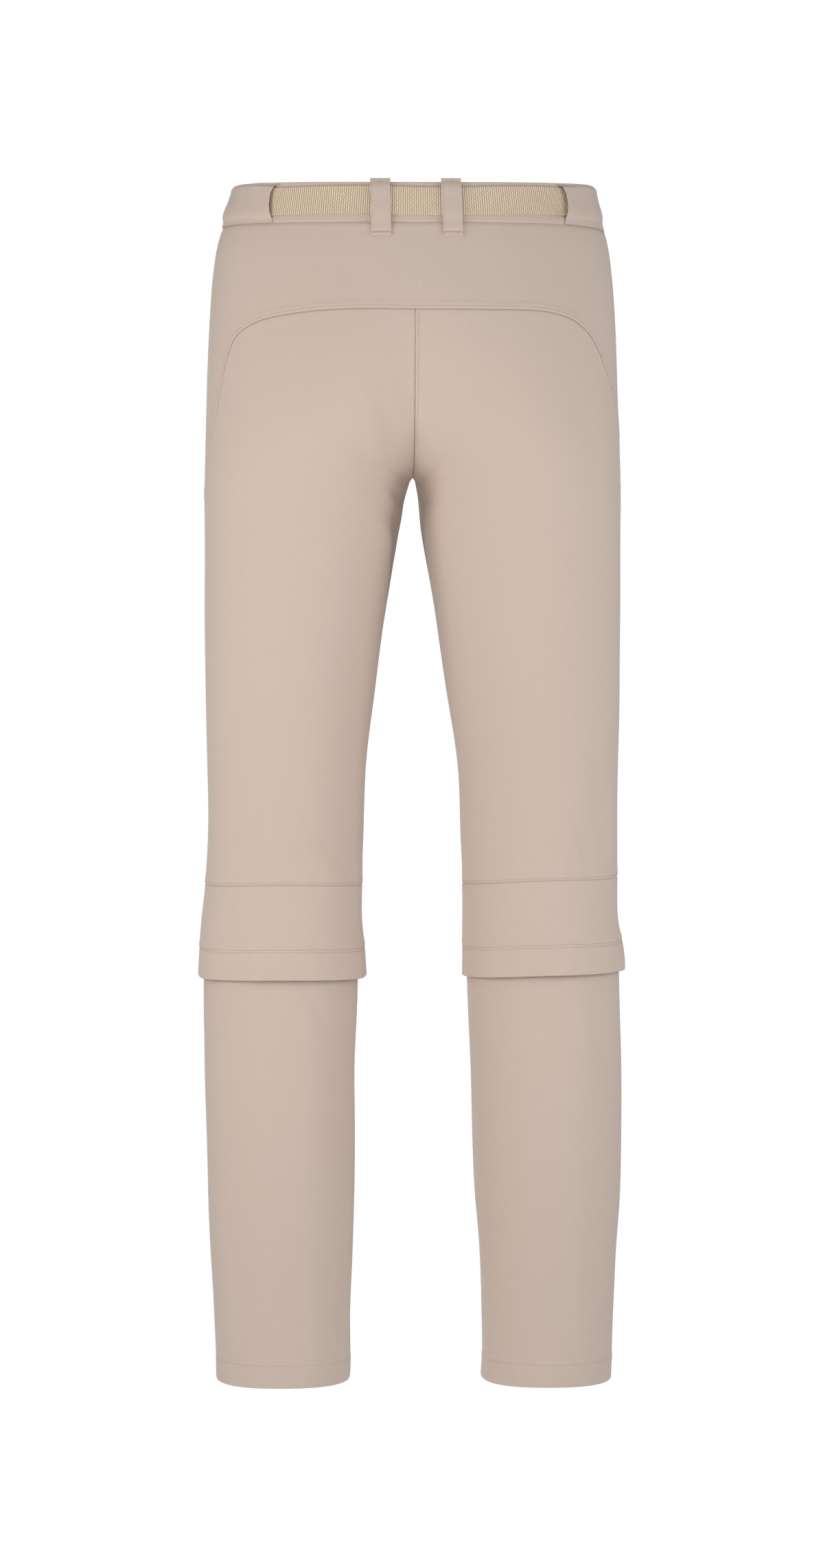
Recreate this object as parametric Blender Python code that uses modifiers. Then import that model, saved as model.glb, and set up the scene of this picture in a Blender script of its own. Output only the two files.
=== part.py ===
"""Convertible zip-off trousers in their worn, hollow form, built from the pieces that a maker sews.

The garment's front faces -Y and its back +Y, +X is the left leg, +Z is up. The origin is the centre
of the waist opening, halfway up the waistband. Every panel is a cloth wall lofted through
horizontal sections: each leg is a tube of rounded sections, and above the crotch the two tubes
run into each other and are trimmed at the centre plane, where the centre seams are.
"""

import math
from collections import namedtuple

import bmesh
import bpy
from mathutils import Vector

# The wearer's left is +X
LEFT, RIGHT = 1, -1

# Cloth and seams, in metres
CLOTH = 0.0012
SEAM_GAP = 0.0003
LAID_ON = 0.0004

# Heights counted from the middle of the waistband
BAND_TOP = 0.0172
BAND_SEAM = -0.0170
CROTCH = -0.2346
KNEE_SEAM = -0.5885
FLAP_STITCH = -0.6430
FLAP_EDGE = -0.6690
LEG_TOP = -0.6575
HEM = -1.0190

# How far the waistband seam drops towards the side, and how much higher the seams at the knee
# are at the outside of the leg than at its inside
BAND_DROP = {LEFT: 0.0015, RIGHT: 0.0060}
KNEE_TILT = {LEFT: 0.0, RIGHT: 0.0070}

# Webbing belt, its tunnels and loops
BELT_HEIGHT = 0.0245
BELT_THICKNESS = 0.0016
BELT_LOW = -0.0105
BELT_OUT = 0.0004
BELT_END_X = 0.0242
TUNNEL_BACK_X = {LEFT: 0.1180, RIGHT: 0.1262}
TUNNEL_FRONT_X = 0.0950
TUNNEL_EDGE_BOW = 0.0032
LOOP_X = {LEFT: 0.0292, RIGHT: 0.0318}
LOOP_WIDTH = 0.0170
LOOP_THICKNESS = 0.0016

# Waistband overlap and fly at the centre front
OVERLAP = 0.0220
UNDERLAP_RUN = 0.0300
FLY_LEFT_X = 0.0360
FLY_RIGHT_X = -0.0070
FLY_LENGTH = 0.1500
FLY_CURVE = 0.0400

# Side-release buckle
BUCKLE_HEIGHT = 0.0320
BUCKLE_THICKNESS = 0.0060
SOCKET_LENGTH = 0.0290
PRONG_LENGTH = 0.0175
BUCKLE_CORNER = 0.0045
BUCKLE_GAP = 0.0004

# Zip tape that joins each lower leg under the flap
ZIP_TOP = -0.6350
ZIP_BOTTOM = -0.6720
ZIP_THICKNESS = 0.0010

# How far the panels' middle row drops from the crotch towards the side
CROTCH_FAN = 0.0900

# Columns in a quarter of the torso, which is also half of a leg, closest where the yoke seam turns
COLUMNS = (0, 0.09, 0.18, 0.27, 0.36, 0.45, 0.53, 0.60, 0.65, 0.69, 0.73, 0.78, 0.84, 0.92, 1)
ARC_STEPS = 72
SLOPE_STEP = 0.0005

Section = namedtuple(
    "Section", "height half_width inner lean sway seam_y back front square back_rise front_rise"
)
# half_width is the outer edge and inner the edge between the legs, both from the centre plane.
# lean moves the outer edges, and sway the space between the legs, to the wearer's left. back and
# front are the depths behind and before the side seam at seam_y. square is the exponent of the
# rounded section. The rises lift the centre back and the centre front over the side.
UPPER = (
    Section(0.0300, 0.1560, -0.1560, 0.0, 0.0, 0.000, 0.100, 0.098, 2.30, -0.0025, -0.0110),
    Section(0.0100, 0.1571, -0.1571, 0.0, 0.0, 0.000, 0.103, 0.100, 2.30, -0.0025, -0.0105),
    Section(-0.0100, 0.1614, -0.1614, 0.0, 0.0, 0.000, 0.106, 0.102, 2.30, -0.0025, -0.0095),
    Section(-0.0300, 0.1683, -0.1683, 0.0, 0.0, 0.000, 0.110, 0.104, 2.30, -0.0022, -0.0080),
    Section(-0.0600, 0.1732, -0.1700, 0.0, 0.0, 0.000, 0.115, 0.107, 2.30, -0.0015, -0.0060),
    Section(-0.0980, 0.1762, -0.1540, 0.0, 0.0, 0.000, 0.121, 0.109, 2.30, -0.0006, -0.0030),
    Section(-0.1300, 0.1775, -0.1290, 0.0, 0.0, 0.000, 0.124, 0.109, 2.30, 0.0000, -0.0010),
    Section(-0.1700, 0.1788, -0.0850, 0.0, 0.0, 0.000, 0.123, 0.107, 2.30, 0.0000, 0.0000),
    Section(-0.2000, 0.1798, -0.0430, 0.0, 0.0, 0.000, 0.119, 0.105, 2.30, 0.0000, 0.0000),
    Section(-0.2200, 0.1803, -0.0150, 0.0, 0.0, 0.000, 0.114, 0.103, 2.30, 0.0000, 0.0000),
    Section(CROTCH, 0.1807, 0.0002, 0.0, 0.0, 0.000, 0.110, 0.101, 2.30, 0.0000, 0.0000),
    Section(-0.2430, 0.1809, 0.0025, 0.0, 0.0005, 0.000, 0.108, 0.101, 2.30, 0.0000, 0.0000),
    Section(-0.2800, 0.1811, 0.0092, 0.0, 0.0020, -0.001, 0.102, 0.098, 2.30, 0.0000, 0.0000),
    Section(-0.3500, 0.1811, 0.0214, 0.0, 0.0020, -0.003, 0.094, 0.095, 2.30, 0.0010, 0.0000),
    Section(-0.4200, 0.1805, 0.0316, 0.0, 0.0018, -0.005, 0.087, 0.091, 2.30, 0.0020, 0.0000),
    Section(-0.4900, 0.1792, 0.0408, 0.0, 0.0008, -0.006, 0.080, 0.087, 2.30, 0.0030, 0.0000),
    Section(-0.5500, 0.1788, 0.0427, 0.0, 0.0004, -0.006, 0.076, 0.084, 2.35, 0.0030, 0.0000),
    Section(KNEE_SEAM, 0.1800, 0.0439, 0.0008, 0.0, -0.006, 0.075, 0.083, 2.40, 0.0030, 0.0000),
    Section(-0.6200, 0.1820, 0.0440, 0.0022, 0.0, -0.005, 0.077, 0.084, 2.40, 0.0030, 0.0000),
    Section(FLAP_STITCH, 0.1848, 0.0428, 0.0010, -0.001, -0.004, 0.080, 0.086, 2.40, 0.0025, 0.0),
    Section(-0.6800, 0.1850, 0.0424, 0.0010, -0.002, -0.003, 0.081, 0.086, 2.40, 0.0020, 0.0),
)
LOWER = (
    Section(-0.6300, 0.1800, 0.0470, 0.0010, 0.0, -0.004, 0.074, 0.080, 2.40, 0.0020, 0.0),
    Section(-0.6840, 0.1812, 0.0482, 0.0008, 0.0, -0.003, 0.075, 0.080, 2.40, 0.0, 0.0),
    Section(-0.7400, 0.1818, 0.0508, 0.0, 0.0, 0.000, 0.077, 0.078, 2.40, 0.0, 0.0),
    Section(-0.8000, 0.1814, 0.0516, -0.0012, -0.0010, 0.003, 0.078, 0.075, 2.40, 0.0, 0.0),
    Section(-0.8600, 0.1798, 0.0530, -0.0015, -0.0022, 0.005, 0.076, 0.073, 2.45, 0.0, 0.0),
    Section(-0.9100, 0.1770, 0.0558, -0.0008, -0.0031, 0.006, 0.074, 0.072, 2.50, 0.0, 0.0),
    Section(-0.9600, 0.1744, 0.0576, -0.0008, -0.0028, 0.007, 0.072, 0.071, 2.50, 0.0, 0.0),
    Section(HEM, 0.1726, 0.0578, -0.0008, -0.0022, 0.008, 0.072, 0.072, 2.45, 0.0, 0.0),
    Section(-1.0400, 0.1722, 0.0578, 0.0, 0.0, 0.008, 0.072, 0.072, 2.45, 0.0, 0.0),
)

SeamPoint = namedtuple("SeamPoint", "across height")
# The seam between yoke and back panels: across is the share of the way from the centre back seam
# to the side seam. It runs level over the seat and turns down before the side seam.
YOKE_SEAM = {
    LEFT: (
        SeamPoint(0.00, -0.0923),
        SeamPoint(0.21, -0.0922),
        SeamPoint(0.34, -0.0935),
        SeamPoint(0.43, -0.0957),
        SeamPoint(0.52, -0.0989),
        SeamPoint(0.60, -0.1042),
        SeamPoint(0.65, -0.1100),
        SeamPoint(0.69, -0.1180),
        SeamPoint(0.73, -0.1400),
        SeamPoint(0.78, -0.1785),
        SeamPoint(0.84, -0.2110),
        SeamPoint(0.92, -0.2420),
        SeamPoint(1.00, -0.2560),
    ),
    RIGHT: (
        SeamPoint(0.00, -0.0923),
        SeamPoint(0.27, -0.0925),
        SeamPoint(0.38, -0.0926),
        SeamPoint(0.45, -0.0935),
        SeamPoint(0.52, -0.0962),
        SeamPoint(0.60, -0.1030),
        SeamPoint(0.65, -0.1110),
        SeamPoint(0.69, -0.1210),
        SeamPoint(0.73, -0.1345),
        SeamPoint(0.78, -0.1530),
        SeamPoint(0.84, -0.1720),
        SeamPoint(0.92, -0.1930),
        SeamPoint(1.00, -0.2050),
    ),
}

Raise = namedtuple("Raise", "height under")
# How far the underside of a loop and of a tunnel stands off the waistband, from top to bottom.
LOOP_RAISES = (
    Raise(0.0199, 0.0006),
    Raise(0.0180, 0.0016),
    Raise(0.0145, 0.0024),
    Raise(-0.0108, 0.0024),
    Raise(-0.0160, 0.0018),
    Raise(-0.0235, 0.0007),
    Raise(-0.0290, LAID_ON),
)
TUNNEL_RAISES = (
    Raise(BAND_TOP, LAID_ON),
    Raise(0.0150, 0.0024),
    Raise(0.0020, 0.0025),
    Raise(-0.0110, 0.0024),
    Raise(-0.0150, LAID_ON),
    Raise(BAND_SEAM, LAID_ON),
)

Fold = namedtuple("Fold", "side half across height tilt length width depth")
# The largest soft troughs: on which leg and half, where the middle lies, the tilt of its line from
# level in degrees, its length and width, and how deep it goes.
FOLDS = (
    Fold(LEFT, "back", 0.12, -0.268, 62, 0.120, 0.032, 0.0045),
    Fold(RIGHT, "back", 0.10, -0.262, 50, 0.080, 0.030, 0.0030),
    Fold(LEFT, "back", 0.30, -0.560, -12, 0.110, 0.034, 0.0020),
    Fold(RIGHT, "back", 0.70, -0.545, 70, 0.100, 0.030, 0.0018),
    Fold(LEFT, "front", 0.22, -0.262, -50, 0.110, 0.036, 0.0025),
    Fold(RIGHT, "front", 0.20, -0.266, -54, 0.110, 0.036, 0.0025),
    Fold(LEFT, "front", 0.45, -0.555, 10, 0.120, 0.036, 0.0020),
    Fold(RIGHT, "front", 0.42, -0.550, 12, 0.120, 0.036, 0.0020),
)

CLOTH_COLOUR = (0.600, 0.495, 0.415)
BAND_COLOUR = (0.560, 0.462, 0.395)
WEBBING_COLOUR = (0.560, 0.450, 0.320)
TAPE_COLOUR = (0.480, 0.390, 0.320)
PLASTIC_COLOUR = (0.300, 0.250, 0.210)


def clear_scene():
    """Remove every object, so that the file can be run again."""
    for thing in list(bpy.data.objects):
        bpy.data.objects.remove(thing, do_unlink=True)


def make_material(name, colour, roughness):
    """A plain principled material."""
    material = bpy.data.materials.new(name)
    material.use_nodes = True
    shader = material.node_tree.nodes["Principled BSDF"]
    shader.inputs["Base Color"].default_value = (*colour, 1.0)
    shader.inputs["Roughness"].default_value = roughness
    return material


def between(rows, at):
    """Smooth values of every column of a table at one value of its first column.

    The curve is a cubic through the rows, with each row's slope taken from its neighbours.
    """
    keys = [row[0] for row in rows]
    order = 1 if keys[-1] > keys[0] else -1
    last = len(rows) - 1
    start = 0
    while start < last - 1 and order * (at - keys[start + 1]) > 0:
        start += 1
    span = keys[start + 1] - keys[start]
    share = (at - keys[start]) / span

    def slope(index, column):
        low, high = max(index - 1, 0), min(index + 1, last)
        if low == index or high == index:
            return (rows[high][column] - rows[low][column]) / (keys[high] - keys[low])
        before = (rows[index][column] - rows[low][column]) / (keys[index] - keys[low])
        after = (rows[high][column] - rows[index][column]) / (keys[high] - keys[index])
        near = abs(keys[high] - keys[index])
        far = abs(keys[index] - keys[low])
        return (before * near + after * far) / (near + far)

    values = []
    for column in range(len(rows[0])):
        first, second = rows[start][column], rows[start + 1][column]
        if not 0.0 <= share <= 1.0:
            edge = 0 if share < 0 else last
            values.append(rows[edge][column] + slope(edge, column) * (at - keys[edge]))
            continue
        square, cube = share**2, share**3
        values.append(
            (2 * cube - 3 * square + 1) * first
            + (cube - 2 * square + share) * span * slope(start, column)
            + (3 * square - 2 * cube) * second
            + (cube - square) * span * slope(start + 1, column)
        )
    return type(rows[0])(*values)


class LegTube:
    """The tube of cloth round one leg, which runs into its neighbour above the crotch.

    Its points are worked out on the left of the centre plane and turned over for the right leg.
    Angle 0 is the side seam, 90 degrees the back, 180 the inside and -90 the front. The trim is the
    distance from the centre plane that the cloth keeps.
    """

    def __init__(self, sections, side):
        self.sections = sections
        self.side = side
        self.cuts = {}
        self.arcs = {}

    def section(self, height):
        """The section at a height."""
        if height not in self.cuts:
            self.cuts[height] = between(self.sections, height)
        return self.cuts[height]

    def at(self, height, angle):
        """A point of the tube."""
        cut = self.section(height)
        outer = cut.half_width + self.side * cut.lean
        inner = cut.inner + self.side * cut.sway
        cosine, sine = math.cos(angle), math.sin(angle)
        reach = (abs(cosine) ** cut.square + abs(sine) ** cut.square) ** (-1 / cut.square)
        depth, rise = (cut.back, cut.back_rise) if sine > 0 else (cut.front, cut.front_rise)
        return Vector(
            (
                (outer + inner + (outer - inner) * reach * cosine) / 2,
                cut.seam_y + depth * reach * sine,
                height + rise * sine**2,
            )
        )

    def normal(self, height, angle):
        """The outward direction of the tube."""
        along = self.at(height, angle + SLOPE_STEP) - self.at(height, angle - SLOPE_STEP)
        down = self.at(height - SLOPE_STEP, angle) - self.at(height + SLOPE_STEP, angle)
        return down.cross(along).normalized()

    def arc(self, half, height, trim):
        """Angles and running lengths from the centre seam or the inseam round to the side seam."""
        key = (half, height, trim)
        if key in self.arcs:
            return self.arcs[key]
        start = math.pi
        if self.at(height, math.pi).x < trim:
            low, high = 0.0, math.pi
            for _ in range(40):
                middle = (low + high) / 2
                if self.at(height, middle).x > trim:
                    low = middle
                else:
                    high = middle
            start = low
        sign = 1 if half == "back" else -1
        angles = [sign * start * (1 - step / ARC_STEPS) for step in range(ARC_STEPS + 1)]
        points = [self.at(height, angle) for angle in angles]
        lengths = [0.0]
        for first, second in zip(points, points[1:]):
            lengths.append(lengths[-1] + (second - first).length)
        self.arcs[key] = angles, lengths
        return self.arcs[key]

    def length(self, half, height, trim=SEAM_GAP / 2):
        """The running length of a quarter at a height."""
        return self.arc(half, height, trim)[1][-1]

    def run_at_x(self, half, height, x):
        """The running length from the centre plane to a distance x beside it."""
        angles, lengths = self.arc(half, height, 0.0)
        for index in range(len(angles) - 1):
            here = self.at(height, angles[index]).x
            after = self.at(height, angles[index + 1]).x
            if after >= x:
                share = (x - here) / (after - here)
                return lengths[index] + share * (lengths[index + 1] - lengths[index])
        return lengths[-1]

    def pushed_in(self, half, height, share):
        """How far the soft folds push the cloth in at a share of the way across."""
        if self.sections is not UPPER:
            return 0.0
        pushed = 0.0
        for fold in FOLDS:
            if (fold.side, fold.half) != (self.side, half):
                continue
            turn = math.radians(fold.tilt)
            across = (share - fold.across) * self.length(half, height)
            up = height - fold.height
            along = across * math.cos(turn) + up * math.sin(turn)
            off = up * math.cos(turn) - across * math.sin(turn)
            pushed += fold.depth * math.exp(
                -((2 * along / fold.length) ** 2) - (2 * off / fold.width) ** 2
            )
        return pushed

    def cloth(self, half, run, height, out, trim=SEAM_GAP / 2):
        """A point of the garment, a running length from the centre and a distance off the tube."""
        angles, lengths = self.arc(half, height, trim)
        run = min(max(run, 0.0), lengths[-1])
        index = 0
        while lengths[index + 1] < run:
            index += 1
        share = (run - lengths[index]) / (lengths[index + 1] - lengths[index])
        angle = angles[index] + share * (angles[index + 1] - angles[index])
        lift = out - self.pushed_in(half, height, run / lengths[-1])
        point = self.at(height, angle) + lift * self.normal(height, angle)
        point.x = self.side * max(point.x, trim)
        return point


UPPER_TUBES = {side: LegTube(UPPER, side) for side in (LEFT, RIGHT)}
LOWER_TUBES = {side: LegTube(LOWER, side) for side in (LEFT, RIGHT)}


def shares(count, power=1.0):
    """Evenly spaced shares from 0 to 1, crowded towards 0 by a power over 1."""
    return [(step / count) ** power for step in range(count + 1)]


def cloth_wall(name, place, across, down, thickness, material, closed=False):
    """A wall lofted through rows of points, with its inner face a thickness behind the outer.

    place(u, v, depth) gives a point for a share across, a share down and a depth behind the
    outer face. A closed wall runs round, its last column being its first.
    """
    build = bmesh.new()
    faces_of_cloth = []
    for depth in (0.0, thickness):
        rows = [[build.verts.new(place(u, v, depth)) for u in across] for v in down]
        faces_of_cloth.append(rows)
    outer, inner = faces_of_cloth
    columns, rows = len(across), len(down)
    last = columns if closed else columns - 1
    for row in range(rows - 1):
        for column in range(last):
            after = (column + 1) % columns
            for sheet in (outer, inner):
                build.faces.new(
                    (
                        sheet[row][column],
                        sheet[row + 1][column],
                        sheet[row + 1][after],
                        sheet[row][after],
                    )
                )
    for row in (0, rows - 1):
        for column in range(last):
            after = (column + 1) % columns
            build.faces.new(
                (outer[row][column], outer[row][after], inner[row][after], inner[row][column])
            )
    if not closed:
        for column in (0, columns - 1):
            for row in range(rows - 1):
                build.faces.new(
                    (
                        outer[row][column],
                        outer[row + 1][column],
                        inner[row + 1][column],
                        inner[row][column],
                    )
                )
    bmesh.ops.recalc_face_normals(build, faces=build.faces)
    return add_object(name, build, material)


def add_object(name, build, material):
    """Turn a bmesh into a named object with its material."""
    mesh = bpy.data.meshes.new(name)
    build.to_mesh(mesh)
    build.free()
    mesh.materials.append(material)
    mesh.shade_smooth()
    mesh.set_sharp_from_angle(angle=math.radians(35))
    thing = bpy.data.objects.new(name, mesh)
    bpy.data.collections["zip_off_trousers"].objects.link(thing)
    return thing


def held_back(share, length):
    """A running length for a share of a panel's width, kept half a seam gap off its edges."""
    return SEAM_GAP / 2 + share * (length - SEAM_GAP)


def band_seam(side, share, off=0.0):
    """Height of the waistband seam at a share of the way to the side, or of a line a bit off it."""
    return BAND_SEAM - BAND_DROP[side] * share**3 + off


def yoke_seam(side, share, off=0.0):
    """Height of the yoke seam at a share of the way to the side, or of a line a bit off it."""
    step = 0.01
    here, before, after = (
        between(YOKE_SEAM[side], share + move).height for move in (0.0, -step, step)
    )
    slope = (after - before) / (2 * step * UPPER_TUBES[side].length("back", here))
    return here + off * math.hypot(1.0, slope)


def panel_rows(above, below):
    """Shares down a trouser panel: 0 to 1 from its top to the crotch, 1 to 2 to the knee seam."""
    upper = [1 - share for share in reversed(shares(above))]
    lower = [1 + share for share in shares(below, 1.35)[1:]]
    return upper + lower


def build_trouser_panel(name, side, half, top_seam, rows, material):
    """A front or back panel, from its top seam past the crotch to the knee seam.

    Its rows crowd towards the crotch at the inside, where the centre seam turns under.
    """
    tube = UPPER_TUBES[side]

    def place(u, v, depth):
        middle = CROTCH - CROTCH_FAN * max(0.0, (u - 0.35) / 0.65) ** 1.5
        if v <= 1:
            power = 1 + max(0.0, 1 - u / 0.35)
            top = top_seam(side, u, -SEAM_GAP / 2)
            height = middle + (top - middle) * (1 - v) ** power
        else:
            bottom = KNEE_SEAM + KNEE_TILT[side] * u + SEAM_GAP / 2
            height = middle + (bottom - middle) * (v - 1)
        return tube.cloth(half, held_back(u, tube.length(half, height)), height, -depth)

    return cloth_wall(name, place, COLUMNS, rows, CLOTH, material)


def build_yoke(material):
    """The yoke in one piece, from side seam to side seam across the back."""
    across = [-share for share in reversed(COLUMNS)] + list(COLUMNS[1:])

    def place(u, v, depth):
        side = LEFT if u >= 0 else RIGHT
        tube = UPPER_TUBES[side]
        top = band_seam(side, abs(u), -SEAM_GAP / 2)
        height = top + (yoke_seam(side, abs(u), SEAM_GAP / 2) - top) * v
        run = held_back(abs(u), tube.length("back", height, 0.0)) if u else 0.0
        return tube.cloth("back", run, height, -depth, 0.0)

    return cloth_wall("yoke", place, across, shares(6), CLOTH, material)


def build_leg_ring(name, side, on_ring, top, bottom, rows, thickness, material):
    """A ring round one leg: its columns run from the inseam by the back, the side and the front."""
    across = list(COLUMNS) + [2 - share for share in reversed(COLUMNS[1:-1])]

    def place(u, v, depth):
        half, share = ("back", u) if u <= 1 else ("front", 2 - u)
        lift = KNEE_TILT[side] * share
        return on_ring(half, share, top + (bottom - top) * v, lift, depth)

    return cloth_wall(name, place, across, rows, thickness, material, closed=True)


def build_knee_band(name, side, material):
    """The band below the knee seam, whose free lower edge is the flap over the zip."""
    tube = UPPER_TUBES[side]

    def on_band(half, share, height, lift, depth):
        height += lift
        return tube.cloth(half, share * tube.length(half, height), height, -depth)

    top = KNEE_SEAM - SEAM_GAP / 2
    return build_leg_ring(name, side, on_band, top, FLAP_EDGE, shares(4), CLOTH, material)


def build_zip(name, side, material):
    """The closed zip's tape ring, from inside the knee band to inside the lower leg."""

    def on_tape(half, share, height, lift, depth):
        points = []
        for tube in (UPPER_TUBES[side], LOWER_TUBES[side]):
            run = share * tube.length(half, height + lift)
            points.append(tube.cloth(half, run, height + lift, -CLOTH - LAID_ON - depth))
        blend = (FLAP_STITCH - height) / (FLAP_STITCH - LEG_TOP)
        return points[0].lerp(points[1], min(max(blend, 0.0), 1.0))

    whole = ZIP_TOP - ZIP_BOTTOM
    rows = [0.0, (ZIP_TOP - FLAP_STITCH) / whole, (ZIP_TOP - LEG_TOP) / whole, 1.0]
    return build_leg_ring(
        name, side, on_tape, ZIP_TOP, ZIP_BOTTOM, rows, ZIP_THICKNESS, material
    )


def build_lower_panel(name, side, half, material):
    """The front or back of a lower leg, from the zip to the hem."""
    tube = LOWER_TUBES[side]

    def place(u, v, depth):
        top = LEG_TOP + KNEE_TILT[side] * u
        height = top + (HEM - top) * v
        return tube.cloth(half, held_back(u, tube.length(half, height)), height, -depth)

    return cloth_wall(name, place, COLUMNS, shares(12), CLOTH, material)


def waist_point(half, x, height, out):
    """A point of the waist at a signed running length from the centre front or centre back."""
    tube = UPPER_TUBES[LEFT if x >= 0 else RIGHT]
    return tube.cloth(half, abs(x), height, out, 0.0)


def ring_columns():
    """Shares round the whole waist, on the same columns as the panels."""
    quarter, mirrored = COLUMNS[1:], [1 - share for share in reversed(COLUMNS[:-1])]
    rounds = ((0, quarter), (1, mirrored), (2, quarter), (3, mirrored))
    return [0.0] + [start + share for start, part in rounds for share in part]


def ring_point(share, height, out):
    """A point round the waist, a quarter for each whole number of the share.

    The waist runs from the centre front by the right side, the back and the left side to the
    centre front again. Shares below 0 and over 4 go on round, over the other end.
    """
    if 1 < share < 3:
        half, part = "back", share - 2
    else:
        half, part = "front", -share if share <= 1 else 4 - share
    return waist_point(half, part * UPPER_TUBES[LEFT].length(half, height, 0.0), height, out)


def build_waistband(material):
    """The waistband strip, its left end lapped over its right end at the centre front."""
    length = UPPER_TUBES[LEFT].length("front", 0.0, 0.0)
    lap, run_in = OVERLAP / length, UNDERLAP_RUN / length
    across = [-lap, -lap / 2] + ring_columns() + [4 + lap / 2, 4 + lap]

    def place(u, v, depth):
        side = RIGHT if u <= 2 else LEFT
        seam = band_seam(side, 1 - abs(u % 2 - 1))
        height = seam + (BAND_TOP - seam) * v
        sunk = 1.2 * (CLOTH + LAID_ON) * min(max((lap + run_in - u) / run_in, 0.0), 1.0)
        return ring_point(u, height, -depth - sunk)

    return cloth_wall("waistband", place, across, shares(3), CLOTH, material)


def build_belt(material):
    """The webbing belt, from one end of the buckle round the back to the other."""
    tube = UPPER_TUBES[LEFT]
    start = tube.run_at_x("front", BELT_LOW, BELT_END_X) / tube.length("front", BELT_LOW, 0.0)
    inside = [u for u in ring_columns() if start + 0.02 < u < 3.98 - start]
    across = [start] + inside + [4 - start]

    def place(u, v, depth):
        return ring_point(u, BELT_LOW + BELT_HEIGHT * v, BELT_OUT + BELT_THICKNESS - depth)

    return cloth_wall("belt", place, across, shares(2), BELT_THICKNESS, material)


def build_tunnel(name, side, material):
    """The outer layer of the waistband at one side, with the belt running behind it."""
    tube = UPPER_TUBES[side]
    whole = {half: tube.length(half, 0.0, 0.0) for half in ("back", "front")}
    back_end = tube.run_at_x("back", 0.0, TUNNEL_BACK_X[side]) / whole["back"]
    front_end = tube.run_at_x("front", 0.0, TUNNEL_FRONT_X) / whole["front"]
    bow = TUNNEL_EDGE_BOW / whole["back"]
    back = [back_end] + [u for u in COLUMNS if u > back_end + 2 * bow]
    front = [2 - u for u in reversed(COLUMNS) if front_end + 0.02 < u < 1] + [2 - front_end]

    def place(u, v, depth):
        row = TUNNEL_RAISES[v]
        half, part = ("back", u) if u <= 1 else ("front", 2 - u)
        height = row.height
        if height < BELT_LOW - 2 * LAID_ON:
            height += band_seam(side, part) - BAND_SEAM
        if u == back_end:
            part += bow * math.sin(math.pi * (row.height - BAND_SEAM) / (BAND_TOP - BAND_SEAM))
        run = part * tube.length(half, height, 0.0)
        return tube.cloth(half, run, height, row.under + CLOTH - depth, 0.0)

    return cloth_wall(name, place, back + front, range(len(TUNNEL_RAISES)), CLOTH, material)


def build_loop(name, side, material):
    """A belt loop at the back, over the belt and down onto the yoke."""
    tube = UPPER_TUBES[side]

    def place(u, v, depth):
        row = LOOP_RAISES[v]
        run = tube.run_at_x("back", row.height, LOOP_X[side]) + LOOP_WIDTH * (u - 0.5)
        out = row.under + LOOP_THICKNESS - depth
        return tube.cloth("back", run, row.height, out, 0.0)

    return cloth_wall(name, place, shares(2), range(len(LOOP_RAISES)), LOOP_THICKNESS, material)


def build_fly(material):
    """The fly's covering strip, laid over both front panels at the centre front."""
    across = [FLY_RIGHT_X, 0.0] + [FLY_LEFT_X * share for share in shares(3)[1:]]

    def place(x, v, depth):
        share = max(x, 0.0) / FLY_LEFT_X
        length = FLY_LENGTH - FLY_CURVE * (1 - math.sqrt(1 - share**2))
        height = BAND_SEAM - SEAM_GAP - length * v
        return waist_point("front", x, height, LAID_ON + CLOTH - depth)

    return cloth_wall("fly", place, across, shares(6), CLOTH, material)


def build_buckle_half(name, low_x, high_x, material):
    """One half of the buckle: a plate with round corners that follows the waist's curve."""
    turns = [math.radians(turn) for turn in (0, 30, 60, 90)]
    top = [1 - 2 * BUCKLE_CORNER * (1 - math.cos(turn)) / BUCKLE_HEIGHT for turn in turns]
    rows = [-share for share in top] + top[::-1]

    def place(u, v, depth):
        above = v * BUCKLE_HEIGHT / 2
        beyond = max(0.0, abs(above) - BUCKLE_HEIGHT / 2 + BUCKLE_CORNER)
        inset = BUCKLE_CORNER - math.sqrt(max(0.0, BUCKLE_CORNER**2 - beyond**2))
        x = low_x + inset + (high_x - low_x - 2 * inset) * u
        height = BELT_LOW + BELT_HEIGHT / 2 + above
        return waist_point("front", x, height, BELT_OUT + BUCKLE_THICKNESS - depth)

    plate = cloth_wall(name, place, shares(4), rows, BUCKLE_THICKNESS, material)
    bevel = plate.modifiers.new("edges", "BEVEL")
    bevel.width = 0.0010
    bevel.segments = 2
    bevel.limit_method = "ANGLE"
    bevel.angle_limit = math.radians(50)


def build_buckle(material):
    """The fastened buckle over the centre front: a socket half and a prong half."""
    whole = SOCKET_LENGTH + PRONG_LENGTH + BUCKLE_GAP
    split = -whole / 2 + SOCKET_LENGTH
    build_buckle_half("buckle_socket", -whole / 2, split, material)
    build_buckle_half("buckle_prong", split + BUCKLE_GAP, whole / 2, material)


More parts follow.
